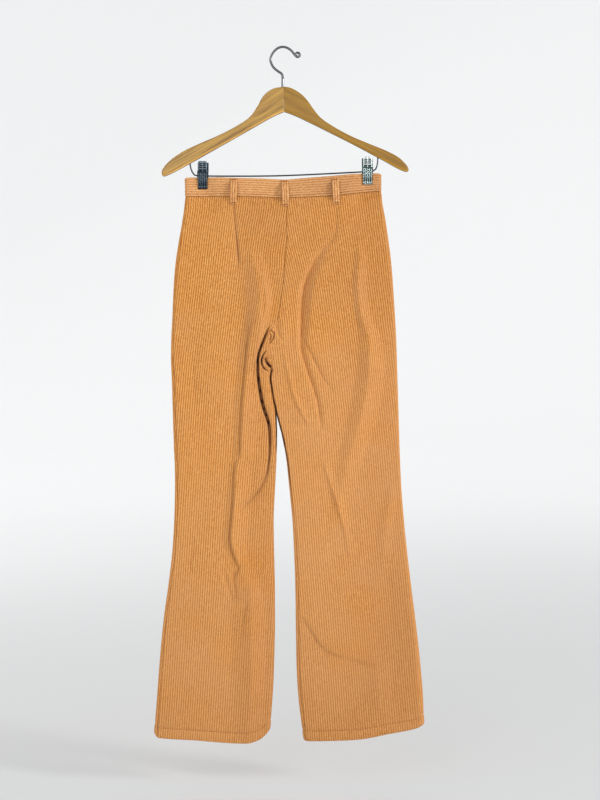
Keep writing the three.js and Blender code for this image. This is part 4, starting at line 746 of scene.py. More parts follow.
# ------------------------------------------------------------------ stitching
def stitches(name, points, normals, length, gap, radius):
    """Thread stitches laid along a line, each a little sunk at its ends, in one mesh."""
    pts, nor = np.asarray(points, float), np.asarray(normals, float)
    s = np.append(0, np.cumsum(np.linalg.norm(np.diff(pts, axis=0), axis=1)))
    verts, faces = [], []
    at = 0.5 * gap
    ring, stations = 6, [(-0.5, 0.45), (-0.34, 0.95), (0, 1.1), (0.34, 0.95), (0.5, 0.45)]
    while at + length < s[-1]:
        mid = at + length / 2
        c = np.array([np.interp(mid, s, pts[:, k]) for k in range(3)])
        a = np.array([np.interp(at, s, pts[:, k]) for k in range(3)])
        b = np.array([np.interp(at + length, s, pts[:, k]) for k in range(3)])
        n = np.array([np.interp(mid, s, nor[:, k]) for k in range(3)])
        n /= np.linalg.norm(n) + 1e-9
        d = (b - a) / (np.linalg.norm(b - a) + 1e-9)
        e = np.cross(n, d)
        e /= np.linalg.norm(e) + 1e-9
        n = np.cross(d, e)
        base = len(verts)
        for u, w in stations:
            centre = c + d * (u * length) + n * (0.25 * (w - 0.9) * radius * 2)
            for k in range(ring):
                q = 2 * math.pi * k / ring
                verts.append(centre + (e * math.cos(q) + n * math.sin(q)) * radius * w)
        for i in range(len(stations) - 1):
            for k in range(ring):
                k2 = (k + 1) % ring
                faces.append([base + i * ring + k, base + i * ring + k2, base + (i + 1) * ring + k2, base + (i + 1) * ring + k])
        faces.append([base + k for k in range(ring)][::-1])
        faces.append([base + (len(stations) - 1) * ring + k for k in range(ring)])
        at += length + gap
    return new_object(name, np.array(verts) * MM, faces)


def skin_line(leg, face, xs, zs, out):
    y = skin_y(leg, face, xs, zs)
    sign = -1 if face == "back" else 1
    p = np.stack([xs, y + sign * out, zs], 1)
    return p, np.tile([0.0, float(sign), 0.0], (len(xs), 1))


# ------------------------------------------------------------------ materials
def material(name):
    m = bpy.data.materials.new(name)
    m.use_nodes = True
    nt = m.node_tree
    nt.nodes.clear()
    out = nt.nodes.new("ShaderNodeOutputMaterial")
    bsdf = nt.nodes.new("ShaderNodeBsdfPrincipled")
    nt.links.new(bsdf.outputs[0], out.inputs[0])
    return m, nt, bsdf


def node(nt, kind, **values):
    n = nt.nodes.new(kind)
    for k, v in values.items():
        if k.startswith("in_"):
            n.inputs[int(k[3:])].default_value = v
        else:
            setattr(n, k, v)
    return n


def math_node(nt, op, a, b=None, c=None, clamp=False):
    n = nt.nodes.new("ShaderNodeMath")
    n.operation, n.use_clamp = op, clamp
    for i, v in enumerate((a, b, c)):
        if v is None:
            continue
        if hasattr(v, "links"):
            nt.links.new(v, n.inputs[i])
        else:
            n.inputs[i].default_value = v
    return n.outputs[0]


def mix_colour(nt, fac, a, b, blend="MIX"):
    n = nt.nodes.new("ShaderNodeMix")
    n.data_type, n.blend_type = "RGBA", blend
    for sock, v in ((n.inputs[0], fac), (n.inputs[6], a), (n.inputs[7], b)):
        if hasattr(v, "links"):
            nt.links.new(v, sock)
        else:
            sock.default_value = v
    return n.outputs[2]


def srgb(r, g, b):
    f = lambda c: (c / 255 / 12.92) if c / 255 <= 0.04045 else ((c / 255 + 0.055) / 1.055) ** 2.4
    return (f(r), f(g), f(b), 1.0)


def noise(nt, vector, scale, detail=2.0, rough=0.5, stretch=(1, 1, 1)):
    mp = nt.nodes.new("ShaderNodeMapping")
    mp.inputs["Scale"].default_value = stretch
    nt.links.new(vector, mp.inputs["Vector"])
    n = nt.nodes.new("ShaderNodeTexNoise")
    n.inputs["Scale"].default_value = scale
    n.inputs["Detail"].default_value = detail
    n.inputs["Roughness"].default_value = rough
    nt.links.new(mp.outputs[0], n.inputs["Vector"])
    return n.outputs["Fac"]


def corduroy(name, across, palette):
    """Brushed cotton ribs: crests lighter from wear, grooves darker as painted shade, soft nap, uneven fading, painted
    sheen on steep slopes and painted shade where the cloth lies in shade.
    """
    m, nt, bsdf = material(name)
    coord = nt.nodes.new("ShaderNodeTexCoord").outputs["Object"]
    rib = nt.nodes.new("ShaderNodeAttribute")
    rib.attribute_name = "rib"
    inside = nt.nodes.new("ShaderNodeAttribute")
    inside.attribute_name = "inside"
    deep = nt.nodes.new("ShaderNodeAttribute")
    deep.attribute_name = "deep"
    def attribute(key):
        n = nt.nodes.new("ShaderNodeAttribute")
        n.attribute_name = key
        return n.outputs["Fac"]
    groove, body, crest = palette
    # by rib height: painted shade in the grooves, and crests lighter from wear
    ramp = nt.nodes.new("ShaderNodeValToRGB")
    ramp.color_ramp.elements[0].color, ramp.color_ramp.elements[0].position = groove, 0.0
    ramp.color_ramp.elements[1].color, ramp.color_ramp.elements[1].position = crest, 1.0
    e = ramp.color_ramp.elements.new(0.56)
    e.color = body
    nap = noise(nt, coord, 620, 3, 0.6, stretch=across)
    beads = noise(nt, coord, 430, 1.5, 0.5, stretch=across)
    fibre = math_node(nt, "ADD", rib.outputs["Fac"], math_node(nt, "MULTIPLY", math_node(nt, "SUBTRACT", nap, 0.5), 0.7))
    fibre = math_node(nt, "ADD", fibre, math_node(nt, "MULTIPLY", math_node(nt, "SUBTRACT", beads, 0.5), 1.05))
    nt.links.new(math_node(nt, "MULTIPLY", fibre, 0.74), ramp.inputs[0])
    # faded patches, uneven over the cloth, and steep fold flanks lighter, partly from wear and partly as painted sheen
    patch = noise(nt, coord, 17, 3, 0.5)
    spread = math_node(nt, "MULTIPLY", math_node(nt, "SUBTRACT", patch, 0.5), 1.3)
    lighter_share = math_node(nt, "MULTIPLY", math_node(nt, "ADD", math_node(nt, "MAXIMUM", attribute("fade"),
                     math_node(nt, "MULTIPLY", attribute("wear_and_sheen"), 0.8)), spread), 0.42, clamp=True)
    cloth_tone = mix_colour(nt, lighter_share, ramp.outputs[0], srgb(217, 159, 106))
    golden = math_node(nt, "MULTIPLY", math_node(nt, "SUBTRACT", noise(nt, coord, 9, 2, 0.5), 0.5), 2.4, clamp=True)
    cloth_tone = mix_colour(nt, golden, cloth_tone, (1.02, 0.95, 0.76, 1), "MULTIPLY")
    # painted shade: darker where the cloth lies in shade
    cloth_tone = mix_colour(nt, attribute("painted_shade"), cloth_tone, (0.82, 0.795, 0.8, 1), "MULTIPLY")
    # painted shade, near black, in slits, creases and between the thighs
    cloth_tone = mix_colour(nt, deep.outputs["Fac"], cloth_tone, (0.12, 0.06, 0.045, 1), "MULTIPLY")
    lining = mix_colour(nt, inside.outputs["Fac"], cloth_tone, srgb(178, 112, 60))
    nt.links.new(lining, bsdf.inputs["Base Color"])
    bsdf.inputs["Roughness"].default_value = 0.92
    bsdf.inputs["Specular IOR Level"].default_value = 0.18
    bsdf.inputs["Sheen Weight"].default_value = 0.22
    bsdf.inputs["Sheen Roughness"].default_value = 0.45
    bsdf.inputs["Sheen Tint"].default_value = srgb(255, 214, 160)
    grain = noise(nt, coord, 900, 2, 0.5)
    bump = nt.nodes.new("ShaderNodeBump")
    bump.inputs["Strength"].default_value = 0.5
    bump.inputs["Distance"].default_value = 0.0005
    nt.links.new(math_node(nt, "ADD", grain, nap), bump.inputs["Height"])
    nt.links.new(bump.outputs[0], bsdf.inputs["Normal"])
    return m


def thread(name, colour):
    m, nt, bsdf = material(name)
    coord = nt.nodes.new("ShaderNodeTexCoord").outputs["Object"]
    n = noise(nt, coord, 1500, 2)
    nt.links.new(mix_colour(nt, n, colour, tuple(c * 0.6 for c in colour[:3]) + (1.0,)), bsdf.inputs["Base Color"])
    bsdf.inputs["Roughness"].default_value = 0.7
    return m


def wood(name, light, dark, lean, contrast=1.0):
    """Lacquered wood with long grain lines that slant across the arm."""
    m, nt, bsdf = material(name)
    coord = nt.nodes.new("ShaderNodeTexCoord").outputs["Object"]
    turn, mp = nt.nodes.new("ShaderNodeMapping"), nt.nodes.new("ShaderNodeMapping")
    turn.inputs["Rotation"].default_value = (0, math.radians(lean), 0)
    mp.inputs["Scale"].default_value = (7, 60, 190)
    nt.links.new(coord, turn.inputs["Vector"])
    nt.links.new(turn.outputs[0], mp.inputs["Vector"])
    n = nt.nodes.new("ShaderNodeTexNoise")
    n.inputs["Scale"].default_value = 1.6
    n.inputs["Detail"].default_value = 5
    n.inputs["Distortion"].default_value = 0.5
    nt.links.new(mp.outputs[0], n.inputs["Vector"])
    fine = nt.nodes.new("ShaderNodeTexNoise")
    fine.inputs["Scale"].default_value = 9
    fine.inputs["Detail"].default_value = 3
    nt.links.new(mp.outputs[0], fine.inputs["Vector"])
    f = math_node(nt, "ADD", math_node(nt, "MULTIPLY", n.outputs["Fac"], 0.75), math_node(nt, "MULTIPLY", fine.outputs["Fac"], 0.25))
    ramp = nt.nodes.new("ShaderNodeValToRGB")
    ramp.color_ramp.elements[0].color, ramp.color_ramp.elements[0].position = dark, 0.5 - 0.14 * contrast
    ramp.color_ramp.elements[1].color, ramp.color_ramp.elements[1].position = light, 0.56
    nt.links.new(f, ramp.inputs[0])
    colour = ramp.outputs[0]
    # painted highlight along the lower chamfer, painted shade on the underside
    for key, tint in (("painted_edge_highlight", (1.9, 1.95, 2.9, 1)), ("painted_underside_shade", (0.3, 0.25, 0.2, 1))):
        a = nt.nodes.new("ShaderNodeAttribute")
        a.attribute_name = key
        colour = mix_colour(nt, a.outputs["Fac"], colour, tint, "MULTIPLY")
    nt.links.new(colour, bsdf.inputs["Base Color"])
    bsdf.inputs["Roughness"].default_value = 0.42
    bsdf.inputs["Coat Weight"].default_value = 0.15
    bsdf.inputs["Coat Roughness"].default_value = 0.2
    bump = nt.nodes.new("ShaderNodeBump")
    bump.inputs["Strength"].default_value = 0.15
    bump.inputs["Distance"].default_value = 0.0004
    nt.links.new(f, bump.inputs["Height"])
    nt.links.new(bump.outputs[0], bsdf.inputs["Normal"])
    return m


def metal(name, colour, rough):
    m, nt, bsdf = material(name)
    coord = nt.nodes.new("ShaderNodeTexCoord").outputs["Object"]
    n = noise(nt, coord, 160, 4, 0.6)
    nt.links.new(mix_colour(nt, n, colour, tuple(c * 0.72 for c in colour[:3]) + (1.0,)), bsdf.inputs["Base Color"])
    nt.links.new(math_node(nt, "MULTIPLY_ADD", n, 0.18, rough), bsdf.inputs["Roughness"])
    bsdf.inputs["Metallic"].default_value = 1.0
    return m


CORD_V = corduroy("corduroy_upright", (1, 1, 0.55), (srgb(148, 86, 38), srgb(207, 138, 68), srgb(238, 179, 107)))
CORD_H = corduroy("corduroy_level", (0.55, 1, 1), (srgb(132, 78, 42), srgb(204, 145, 90), srgb(236, 182, 128)))
CORD_LOOP = corduroy("corduroy_loop", (1, 1, 0.55), (srgb(120, 68, 34), srgb(204, 142, 86), srgb(238, 184, 128)))
THREAD = thread("tan_thread", srgb(186, 118, 60))
WOOD_L = wood("light_wood", srgb(181, 139, 58), srgb(122, 84, 30), 30)
WOOD_R = wood("dark_wood", srgb(156, 114, 20), srgb(134, 95, 16), -27, 0.7)
STEEL = metal("polished_steel", srgb(116, 117, 120), 0.16)
BAR_STEEL = metal("bar_steel", srgb(88, 91, 96), 0.2)
# one clip steel in two copies: the left darker, as if in shade, the right lighter, as if lit, with a painted highlight
# on its lip
CLIP_STEEL_SHADED = metal("clip_steel_shaded", srgb(44, 53, 61), 0.3)
CLIP_STEEL_LIT = metal("clip_steel_lit", srgb(74, 96, 96), 0.2)
LIP_PAINTED_HIGHLIGHT = metal("painted_highlight_steel", srgb(225, 226, 228), 0.12)
BUTTON = metal("button_brown", srgb(120, 72, 36), 0.35)
BUTTON.node_tree.nodes["Principled BSDF"].inputs["Metallic"].default_value = 0.0


def finish_piece(obj, mat, slot, nodes=()):
    obj.data.materials.clear()
    obj.data.materials.append(mat)
    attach(obj, "root")
    if nodes:
        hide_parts(*nodes)
    return obj


# ------------------------------------------------------------------ the garment
panels = {}
for leg, side in ((-1, "left"), (1, "right")):
    for face, ribs, step in (("back", 5, 8.0), ("front", 4, 10.0)):
        piece, flat = panel(f"{face}_{side}_cord", leg, face, ribs, step)
        panels[f"{face}_{side}"] = (finish_piece(piece, CORD_V, "corduroy", [f"{face}_panel_{side}_{zone}" for zone in
                                                                            ("seat", "thigh", "knee", "calf")]), flat)
band, band_length = waistband()
finish_piece(band, CORD_H, "corduroy", [f"waistband_{n}" for n in ("front_left", "front_right", "back_left", "back_right")])
LOOPS = (("back_left", -86.6, -1.4, "back", 0), ("back_centre", 3.4, 2, "back", 0), ("back_right", 92.8, 2.2, "back", 3.5),
         ("front_left", -90, 0, "front", 0), ("front_right", 94, 0, "front", 0))
loops = []
for name, x0, lean, face, drop in LOOPS:
    loops.append(finish_piece(belt_loop(f"loop_{name}_cord", x0, lean, face, drop), CORD_LOOP, "corduroy", [f"belt_loop_{name}"]))
fly = finish_piece(placket(), CORD_V, "corduroy", ["fly_placket"])

# stitched lines: hems, lower edge of the waistband, bar tacks of the loops, the fly
hem_rows, band_rows, tacks = {}, [], []
for leg, side in ((-1, "left"), (1, "right")):
    for face in ("back", "front"):
        lo, hi = sorted((float(inner_x(leg, face, -1205)) + leg * 4, float(outer_x(leg, -1205)) - leg * 4))
        xs = np.linspace(lo, hi, 120)
        zs = row_z(HEM_NOMINAL + HEM, xs, leg)
        p, n = skin_line(leg, face, xs, zs, -0.6)
        st = stitches(f"hem_stitches_{side}_{face}", p, n, 2.5, 0.9, 0.36)
        hem_rows[f"{face}_{side}"] = finish_piece(st, THREAD, "corduroy")
for face in ("back", "front"):
    xs = np.linspace(-160, 160, 300)
    t = 29.0 / 33
    px, py, pz = band_point(face, xs, np.full(xs.shape, t))
    sign = -1 if face == "back" else 1
    p = np.stack([px, py - sign * 0.35, pz], 1)
    st = stitches(f"waistband_stitches_{face}", p, np.tile([0.0, float(sign), 0.0], (len(xs), 1)), 2.5, 0.9, 0.28)
    band_rows.append(finish_piece(st, THREAD, "corduroy"))
for o, (name, x0, lean, face, drop) in zip(loops, LOOPS):
    sign = -1 if face == "back" else 1
    mesh_points = np.array([v.co[:] for v in o.data.vertices]) / MM
    points, normals = [], []
    for t in (0.05, 0.075, 0.925, 0.95):
        z = float(band_top(x0)) - 0.6 - drop - 47.0 * t
        near = mesh_points[np.abs(mesh_points[:, 2] - z) < 1.2]
        y = float((sign * near[:, 1]).max()) * sign
        xs = np.linspace(x0 + lean * t - 5.4, x0 + lean * t + 5.4, 8)
        points.append(np.stack([xs, np.full(8, y + sign * 0.05), np.full(8, z)], 1))
    made = [stitches(f"tack_{name}_{i}", q, np.tile([0.0, float(sign), 0.0], (8, 1)), 1.5, 0.25, 0.42) for i, q in enumerate(points)]
    tacks.append([finish_piece(m, THREAD, "corduroy") for m in made])
turn = np.append(np.linspace(0.03, 0.6, 40), 0.6 + 0.385 * np.sin(np.linspace(0, np.pi / 2, 40)[1:]))
fly_z = -269.5 - 165 * turn
fly_w = 32.5 * np.sqrt(np.clip(1 - np.clip((turn - 0.6) / 0.386, 0, 1) ** 2, 0, 1))
fly_x = centre_of["front"](fly_z) - 2 + fly_w
fly_y = np.maximum(skin_y(-1, "front", fly_x, fly_z), skin_y(1, "front", fly_x, fly_z)) + 1.75
fly_row = finish_piece(stitches("fly_stitches", np.stack([fly_x, fly_y, fly_z], 1), np.tile([0.0, 1.0, 0.0], (len(turn), 1)), 2.6, 0.9, 0.32),
                       THREAD, "corduroy")

# ------------------------------------------------------------------ the clips' outer jaws, with ribs and corrugations
JAW = rows("z y half", (24.4, 8.6, 7.2), (22.5, 8.4, 7.7), (14, 7.6, 7.9), (8, 6.4, 8.1), (6, 6, 8.6), (-4, 5.6, 8.7), (-12, 5.2, 8.7),
    (-17, 4.2, 8.7), (-19.4, 3.55, 8.7), (-24.4, 3.55, 8.6))
SLOTS = rows("z high", (19.6, 0.75), (16.6, 0.75), (13.3, 0.8), (8.6, 1.25))
jaw_y, jaw_half = curve(JAW, "z", "y"), curve(JAW, "z", "half")


def grip(name, cx, cz):
    """The jaw that faces out: slotted ribs above, five corrugations below and a turned lip at its foot."""
    zs = np.linspace(24.4, -24.4, 150)
    us = np.linspace(-1, 1, 57)
    outer, inner, deep, crest = [], [], [], []
    for z in zs:
        half = float(jaw_half(z))
        x = us * half
        y = np.full(x.shape, float(jaw_y(z)) + 1.2)
        d = np.zeros(x.shape)
        column = smooth((np.abs(x) - 0.55) / 0.35) * smooth((half - 1.5 - np.abs(x)) / 0.35)
        for r in SLOTS:
            d = np.maximum(d, column * smooth((r["high"] - abs(z - r["z"])) / 0.35 + 0.5))
        if z > 5.5:
            y = y + 0.55 * column * (1 - d) - 0.75 * d
        low = smooth((5.0 - z) / 1.5) * smooth((z + 22.6) / 0.8)
        wave = np.cos(us * math.pi * 5)
        y = y + low * 0.5 * wave
        d = np.maximum(d, low * 0.75 * smooth((-0.35 - wave) / 0.5))
        y = y + 0.7 * math.exp(-(((z + 23.4) / 0.7) ** 2))
        y = y - 0.5 * (np.abs(us) ** 14)
        outer.append(np.stack([cx + x, -y, np.full(x.shape, cz + z)], 1))
        inner.append(np.stack([cx + x, -np.full(x.shape, float(jaw_y(z)) + 0.1), np.full(x.shape, cz + z)], 1))
        # painted shade in the slots and corrugation troughs, painted highlight on the upper grip and the corrugation
        # crests
        deep.append(d)
        crest.append(0.9 * smooth((z - 6.0) / 2) + low * 0.55 * smooth((wave - 0.5) / 0.4))
    outer, inner = np.array(outer), np.array(inner)
    return sheet_mesh(name, outer, inner, [(0, len(us) - 1)] * len(zs), {"deep": np.array(deep), "crest": np.array(crest)}, every=8)


def ears(name, cx, cz):
    """Two small cheeks that carry the jaw on the bar."""
    verts, faces = [], []
    profile = [(-7.2, 7.5), (-1.4, 7.5), (1.6, 5.2), (2.2, 2), (1.6, -2.6), (-1.4, -3.6), (-7.0, -3.6)]
    for s in (-1, 1):
        base = len(verts)
        for x in (s * 8.8, s * 9.65):
            for y, z in profile:
                verts.append((cx + x, y, cz + z))
        n = len(profile)
        faces += [[base + k for k in range(n)], [base + n + k for k in range(n)][::-1]]
        faces += [[base + k, base + n + k, base + n + (k + 1) % n, base + (k + 1) % n] for k in range(n)]
    o = new_object(name, np.array(verts) * MM, faces, smooth_shade=False)
    m = o.modifiers.new("rounded", "BEVEL")
    m.width, m.segments, m.limit_method = 0.0002, 2, "ANGLE"
    return o


def lip(name, cx, cz):
    verts, faces = [], []
    n, k = 20, 8
    for i in range(n):
        x = cx + 7.6 * (2 * i / (n - 1) - 1)
        w = 1 - 0.6 * abs(2 * i / (n - 1) - 1) ** 8
        for q in range(k):
            a = 2 * math.pi * q / k
            verts.append((x, -4.95 - 0.75 * w * math.sin(a), cz - 23.4 + 0.95 * w * math.cos(a)))
    for i in range(n - 1):
        for q in range(k):
            faces.append([i * k + q, i * k + (q + 1) % k, (i + 1) * k + (q + 1) % k, (i + 1) * k + q])
    faces += [[q for q in range(k)][::-1], [(n - 1) * k + q for q in range(k)]]
    return new_object(name, np.array(verts) * MM, faces)


def slotted(mat, crest=None):
    """Paints shade into the slots and corrugation troughs of a metal, and a painted highlight on its crests and upper
    grip.
    """
    nt = mat.node_tree
    deep = nt.nodes.new("ShaderNodeAttribute")
    deep.attribute_name = "deep"
    bsdf = nt.nodes["Principled BSDF"]
    colour = bsdf.inputs["Base Color"].links[0].from_socket
    if crest:
        lighter_share = nt.nodes.new("ShaderNodeAttribute")
        lighter_share.attribute_name = "crest"
        colour = mix_colour(nt, lighter_share.outputs["Fac"], colour, crest)
    nt.links.new(mix_colour(nt, deep.outputs["Fac"], colour, (0.012, 0.014, 0.016, 1)), bsdf.inputs["Base Color"])


# painted highlight colours on the crests: mild on the darker clip, near white on the lighter one
slotted(CLIP_STEEL_SHADED, srgb(108, 121, 131))
slotted(CLIP_STEEL_LIT, srgb(214, 224, 222))
# the right clip takes the lit copy and the painted highlight on its lip, the left the darker copy
for leg, side, mat, rim in ((-1, "left", CLIP_STEEL_SHADED, CLIP_STEEL_SHADED), (1, "right", CLIP_STEEL_LIT, LIP_PAINTED_HIGHLIGHT)):
    finish_piece(grip(f"clip_{side}_grip", CLIP_X[leg], CLIP_Z[leg]), mat, "clip_steel", [f"clip_{side}_outer_jaw"])
    finish_piece(ears(f"clip_{side}_cheeks", CLIP_X[leg], CLIP_Z[leg]), mat, "clip_steel")
    finish_piece(lip(f"clip_{side}_lip", CLIP_X[leg], CLIP_Z[leg]), rim, "clip_steel")

# ------------------------------------------------------------------ the wooden arms and the wire hook
ARM_LEFT = rows("x z", (1.8, -69.4), (-14.1, -71.6), (-24.2, -76.2), (-35.6, -86), (-46.8, -105.7), (-60.5, -124), (-84.2, -140),
    (-118.4, -157.5), (-152.4, -172.1), (-179.6, -185.2), (-200.1, -199.6), (-211, -211), (-215.8, -220), (-213.6, -228.2),
    (-203.5, -225.6), (-166.1, -206.1), (-118.4, -179.4), (-84.2, -160.1), (-50.2, -140.6), (-16.2, -121.6), (1.8, -113.6))
ARM_RIGHT = rows("x z", (1.8, -69.4), (11.4, -70.6), (23.7, -76.2), (37, -86.3), (47.2, -98.6), (52, -105.7), (67.3, -124.4),
    (92.7, -141.8), (120, -156.4), (154.1, -171), (184.8, -183.6), (205.2, -194.6), (214, -202.4), (222, -212), (223.2, -219.2),
    (217.2, -219.9), (167.7, -194.4), (120, -169.2), (86, -152.2), (52, -135.2), (18, -119.3), (1.8, -113.6))
HOOK = rows("x z", (-0.5, -93), (-0.5, -80), (-0.5, -66), (-0.5, -53), (-2.2, -46.2), (-8.9, -41.3), (-16.2, -35.2), (-20.6, -28.1),
    (-22.3, -20.4), (-20.3, -12.4), (-15.1, -5), (-8, 0.4), (0, 2.1), (7.6, 0.3), (14.6, -4.4), (20.2, -11))
MITRE = 1.8


def through(points, steps):
    """A smooth line through points, with a number of steps between neighbours."""
    p = np.asarray(points, float)
    p = np.vstack([2 * p[0] - p[1], p, 2 * p[-1] - p[-2]])
    out = []
    for i in range(1, len(p) - 2):
        p0, p1, p2, p3 = p[i - 1:i + 3]
        t0, t1, t2, t3 = np.append(0, np.cumsum([max(1e-6, np.linalg.norm(b - a)) ** 0.5 for a, b in ((p0, p1), (p1, p2), (p2, p3))]))
        for t in t1 + (t2 - t1) * np.arange(steps) / steps:
            a1 = (t1 - t) / (t1 - t0) * p0 + (t - t0) / (t1 - t0) * p1
            a2 = (t2 - t) / (t2 - t1) * p1 + (t - t1) / (t2 - t1) * p2
            a3 = (t3 - t) / (t3 - t2) * p2 + (t - t2) / (t3 - t2) * p3
            b1 = (t2 - t) / (t2 - t0) * a1 + (t - t0) / (t2 - t0) * a2
            b2 = (t3 - t) / (t3 - t1) * a2 + (t - t1) / (t3 - t1) * a3
            out.append((t2 - t) / (t2 - t1) * b1 + (t - t1) / (t2 - t1) * b2)
    return np.array(out + [p[-2]])


# Distance in from the outline and height above the middle of the arm, for the rounded upper edge and the flat lower one.
ROUND = ((3.4, 6.0), (2.3, 5.8), (1.3, 5.25), (0.5, 4.3), (0.1, 3.2), (0, 2))
FLAT = ((2.9, 6.0), (2.6, 5.85), (1.5, 4.75), (0.4, 3.65), (0.1, 3.2), (0, 2))


def arm(name, outline, leg):
    """A flat wooden arm with a rounded upper edge and a chamfer along its lower one, cut square where the two arms meet."""
    line = through([(r["x"], r["z"]) for r in outline], 12)
    ends = [line[0] + (line[0] - line[3]) / np.linalg.norm(line[0] - line[3]) * 9, line[-1] + (line[-1] - line[-4]) / np.linalg.norm(line[-1] - line[-4]) * 9]
    line = np.vstack([ends[0], line, ends[1]])
    tangent = np.gradient(line, axis=0)
    tangent /= np.linalg.norm(tangent, axis=1)[:, None]
    inward = np.stack([-tangent[:, 1], tangent[:, 0]], 1) * (1 if leg < 0 else -1)
    lower = smooth((inward[:, 1] - 0.2) / 0.4)                       # 1 where the edge faces down
    plane = MITRE + leg * 0.15
    count, rings = 240, []
    for face in (-1, 1):
        levels = list(zip(ROUND, FLAT))
        for (ra, ya), (fa, yb) in (levels if face < 0 else levels[::-1]):
            ring = line + inward * mix(ra, fa, lower)[:, None]
            y = face * mix(ya, yb, lower)
            in_ = (ring[:, 0] - plane) * leg > 0
            first, last = np.nonzero(in_)[0][[0, -1]]
            def cross(i, j):
                f = (plane - ring[i, 0]) / (ring[j, 0] - ring[i, 0])
                return np.append(mix(ring[i], ring[j], f), [mix(y[i], y[j], f), mix(lower[i], lower[j], f)])
            kept = np.vstack([cross(first - 1, first), np.column_stack([ring, y, lower])[first:last + 1], cross(last, last + 1)])
            s = np.append(0, np.cumsum(np.linalg.norm(np.diff(kept[:, :2], axis=0), axis=1)))
            # the same share of the upper and lower edge on every ring
            k = np.argmax(np.abs(kept[:, 0]))
            at = np.append(np.linspace(0, s[k], count // 2), np.linspace(s[k], s[-1], count // 2)[1:])
            rings.append(np.array([np.interp(at, s, kept[:, c]) for c in range(4)]).T)
    n, verts, faces, painted_edge_highlight, painted_underside_shade = len(rings[0]), [], [], [], []
    # the lower chamfer rings get a painted highlight, the rings under the arm painted shade
    for q, ring in enumerate(rings):
        for x, z, y, low in ring:
            verts.append((x, y, z))
            painted_edge_highlight.append(low if q in (2, 3) else 0.35 * low if q == 4 else 0.0)
            painted_underside_shade.append(0.0 if q < 4 else low if 5 <= q <= 7 else 0.5 * low)
    for q in range(len(rings) - 1):
        for i in range(n - 1):
            faces.append([q * n + i, q * n + i + 1, (q + 1) * n + i + 1, (q + 1) * n + i])
    top = len(rings) - 1
    faces.append([i for i in range(n)][::-1])
    faces.append([top * n + i for i in range(n)])
    faces.append([q * n for q in range(top + 1)] + [q * n + n - 1 for q in range(top, -1, -1)])
    o = new_object(name, np.array(verts) * MM, faces)
    for f in list(o.data.polygons)[-3:]:
        f.use_smooth = False
    set_attribute(o, "painted_edge_highlight", painted_edge_highlight)
    set_attribute(o, "painted_underside_shade", painted_underside_shade)
    o.data.update()
    outward(o)
    return o


def wire(name, line, radius, sides=14):
    """A round wire along a line of points, with a radius at each."""
    line = np.asarray(line, float)
    t = np.gradient(line, axis=0)
    t /= np.linalg.norm(t, axis=1)[:, None]
    a = np.cross(t, [0, 1.0, 0])
    a /= np.linalg.norm(a, axis=1)[:, None]
    b = np.cross(t, a)
    verts = [c + (u * math.cos(q) + v * math.sin(q)) * r for c, u, v, r in zip(line, a, b, radius)
             for q in np.linspace(0, 2 * np.pi, sides + 1)[:-1]]
    n = len(line)
    faces = [[i * sides + k, i * sides + (k + 1) % sides, (i + 1) * sides + (k + 1) % sides, (i + 1) * sides + k]
             for i in range(n - 1) for k in range(sides)]
    faces += [[k for k in range(sides)][::-1], [(n - 1) * sides + k for k in range(sides)]]
    o = new_object(name, np.array(verts) * MM, faces)
    outward(o)
    return o


for leg, side, outline, mat, slot in ((-1, "left", ARM_LEFT, WOOD_L, "light_wood"), (1, "right", ARM_RIGHT, WOOD_R, "dark_wood")):
    finish_piece(arm(f"arm_{side}_wood", outline, leg), mat, slot, [f"hanger_arm_{side}"])
# the wire ends in a small closed eye
eye = [(26.2 + 3.6 * math.cos(a), -2.6 * k / 14, -12.3 + 3.6 * math.sin(a)) for k, a in enumerate(np.radians(np.linspace(218, 600, 15)))]
bend = through([(r["x"], 0, r["z"]) for r in HOOK] + eye, 7)
hook = wire("hook_wire", bend, 2.15 + 0.3 * smooth((-50 - bend[:, 2]) / 4))
finish_piece(hook, STEEL, "steel", ["hanger_hook"])

# ------------------------------------------------------------------ better finishes on the solids that stay
FINISH = {"trouser_bar": BAR_STEEL,
          "clip_left_inner_jaw": CLIP_STEEL_SHADED, "clip_right_inner_jaw": CLIP_STEEL_LIT, "clip_left_spring": STEEL, "clip_right_spring": STEEL, "waist_button": BUTTON}
for name, mat in FINISH.items():
    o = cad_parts[name]
    for s in o.material_slots:
        s.material = mat

# ------------------------------------------------------------------ the smaller of each panel's flat area and width times length, computed and not kept
for key, (o, flat) in panels.items():
    min(flat[2], flat[0] * flat[1])

# ------------------------------------------------------------------ studio
WALL_GLOW, FLOOR_GLOW = 0.27, 0.24


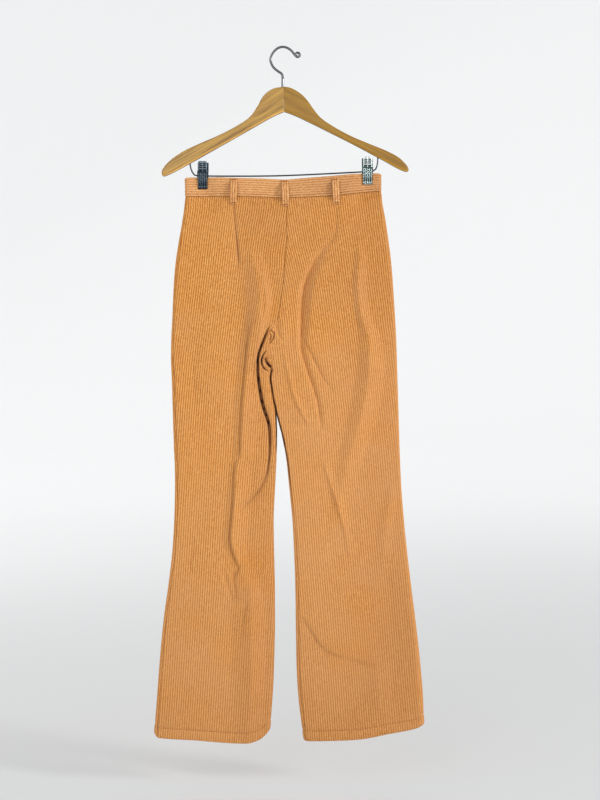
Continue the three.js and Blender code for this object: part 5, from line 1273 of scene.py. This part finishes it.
def studio():
    """A round pale floor that sweeps up to a far wall on every side."""
    n, verts, faces = 96, [(0, 0, 0)], []
    profile = [(1.0, 0.0), (3.0, 0.0), (4.4, 0.0), (4.9, 0.05), (5.4, 0.22), (5.75, 0.48), (5.95, 0.85), (6.05, 1.3), (6.1, 1.8),
               (6.1, 2.4), (6.1, 3.2), (6.1, 4.2), (6.1, 5.5)]
    for r, h in profile:
        for k in range(n):
            a = 2 * math.pi * k / n
            verts.append((r * math.cos(a), r * math.sin(a), h))
    for k in range(n):
        faces.append([0, 1 + k, 1 + (k + 1) % n])
    for i in range(len(profile) - 1):
        for k in range(n):
            a, b = 1 + i * n + k, 1 + i * n + (k + 1) % n
            faces.append([a, a + n, b + n, b])
    o = new_object("studio_floor", verts, faces)
    o.location = (0, 0, -1.32)
    m, nt, bsdf = material("pale_floor")
    bsdf.inputs["Base Color"].default_value = (0.42, 0.42, 0.42, 1)
    bsdf.inputs["Roughness"].default_value = 0.9
    # the far wall is lit from behind, evenly as high as it is seen
    height = nt.nodes.new("ShaderNodeSeparateXYZ")
    nt.links.new(nt.nodes.new("ShaderNodeTexCoord").outputs["Object"], height.inputs[0])
    low, high = nt.nodes.new("ShaderNodeMapRange"), nt.nodes.new("ShaderNodeMapRange")
    out = math_node(nt, "SQRT", math_node(nt, "ADD", math_node(nt, "POWER", height.outputs["X"], 2.0),
                                          math_node(nt, "POWER", height.outputs["Y"], 2.0)))
    along = math_node(nt, "MULTIPLY_ADD", out, 0.16, height.outputs["Z"])
    for n, values, way in ((low, (0.1, 1.15, 0.0, 1.0), along), (high, (3.2, 5.0, 1.0, 0.2), height.outputs["Z"])):
        n.interpolation_type = "SMOOTHSTEP"
        for i, v in enumerate(values):
            n.inputs[1 + i].default_value = v
        nt.links.new(way, n.inputs[0])
    glow = math_node(nt, "MULTIPLY", low.outputs[0], high.outputs[0])
    bsdf.inputs["Emission Color"].default_value = (0.98, 0.995, 1.0, 1)
    nt.links.new(math_node(nt, "MULTIPLY_ADD", glow, WALL_GLOW, FLOOR_GLOW), bsdf.inputs["Emission Strength"])
    o.data.materials.append(m)


studio()


def area(name, loc, target, size, power, colour=(1, 1, 1)):
    l = bpy.data.lights.new(name, "AREA")
    l.shape, l.size, l.energy, l.color = "DISK", size, power, colour
    o = bpy.data.objects.new(name, l)
    bpy.context.scene.collection.objects.link(o)
    o.location = loc
    o.rotation_mode = "QUATERNION"
    o.rotation_quaternion = (Vector(target) - Vector(loc)).to_track_quat("-Z", "Y")
    o.visible_camera = False
    return o


area("key", (4.6, -2.5, 0.9), (0, 0, -0.6), 1.1, 168)
area("fill", (-1.6, -4.2, 0.9), (0, 0, -0.65), 2.6, 42)
area("back_fill", (-2.6, 3.6, 2.3), (0, 0, -0.6), 2.4, 92)
world = bpy.data.worlds.new("studio_air")
bpy.context.scene.world = world
world.use_nodes = True
world.node_tree.nodes["Background"].inputs[0].default_value = (0.93, 0.95, 0.97, 1)
world.node_tree.nodes["Background"].inputs[1].default_value = 0.45

cam = bpy.data.cameras.new("camera")
cam_obj = bpy.data.objects.new("camera", cam)
bpy.context.scene.collection.objects.link(cam_obj)
bpy.context.scene.camera = cam_obj
DIST = 2.5
cam.lens = 18.0 / (0.712 / DIST)
cam.sensor_width = 36.0
cam_obj.location = (0.0303, -DIST, -0.6264)
cam_obj.rotation_euler = (math.radians(90), 0, 0)
bpy.context.scene.view_settings.view_transform = "Standard"
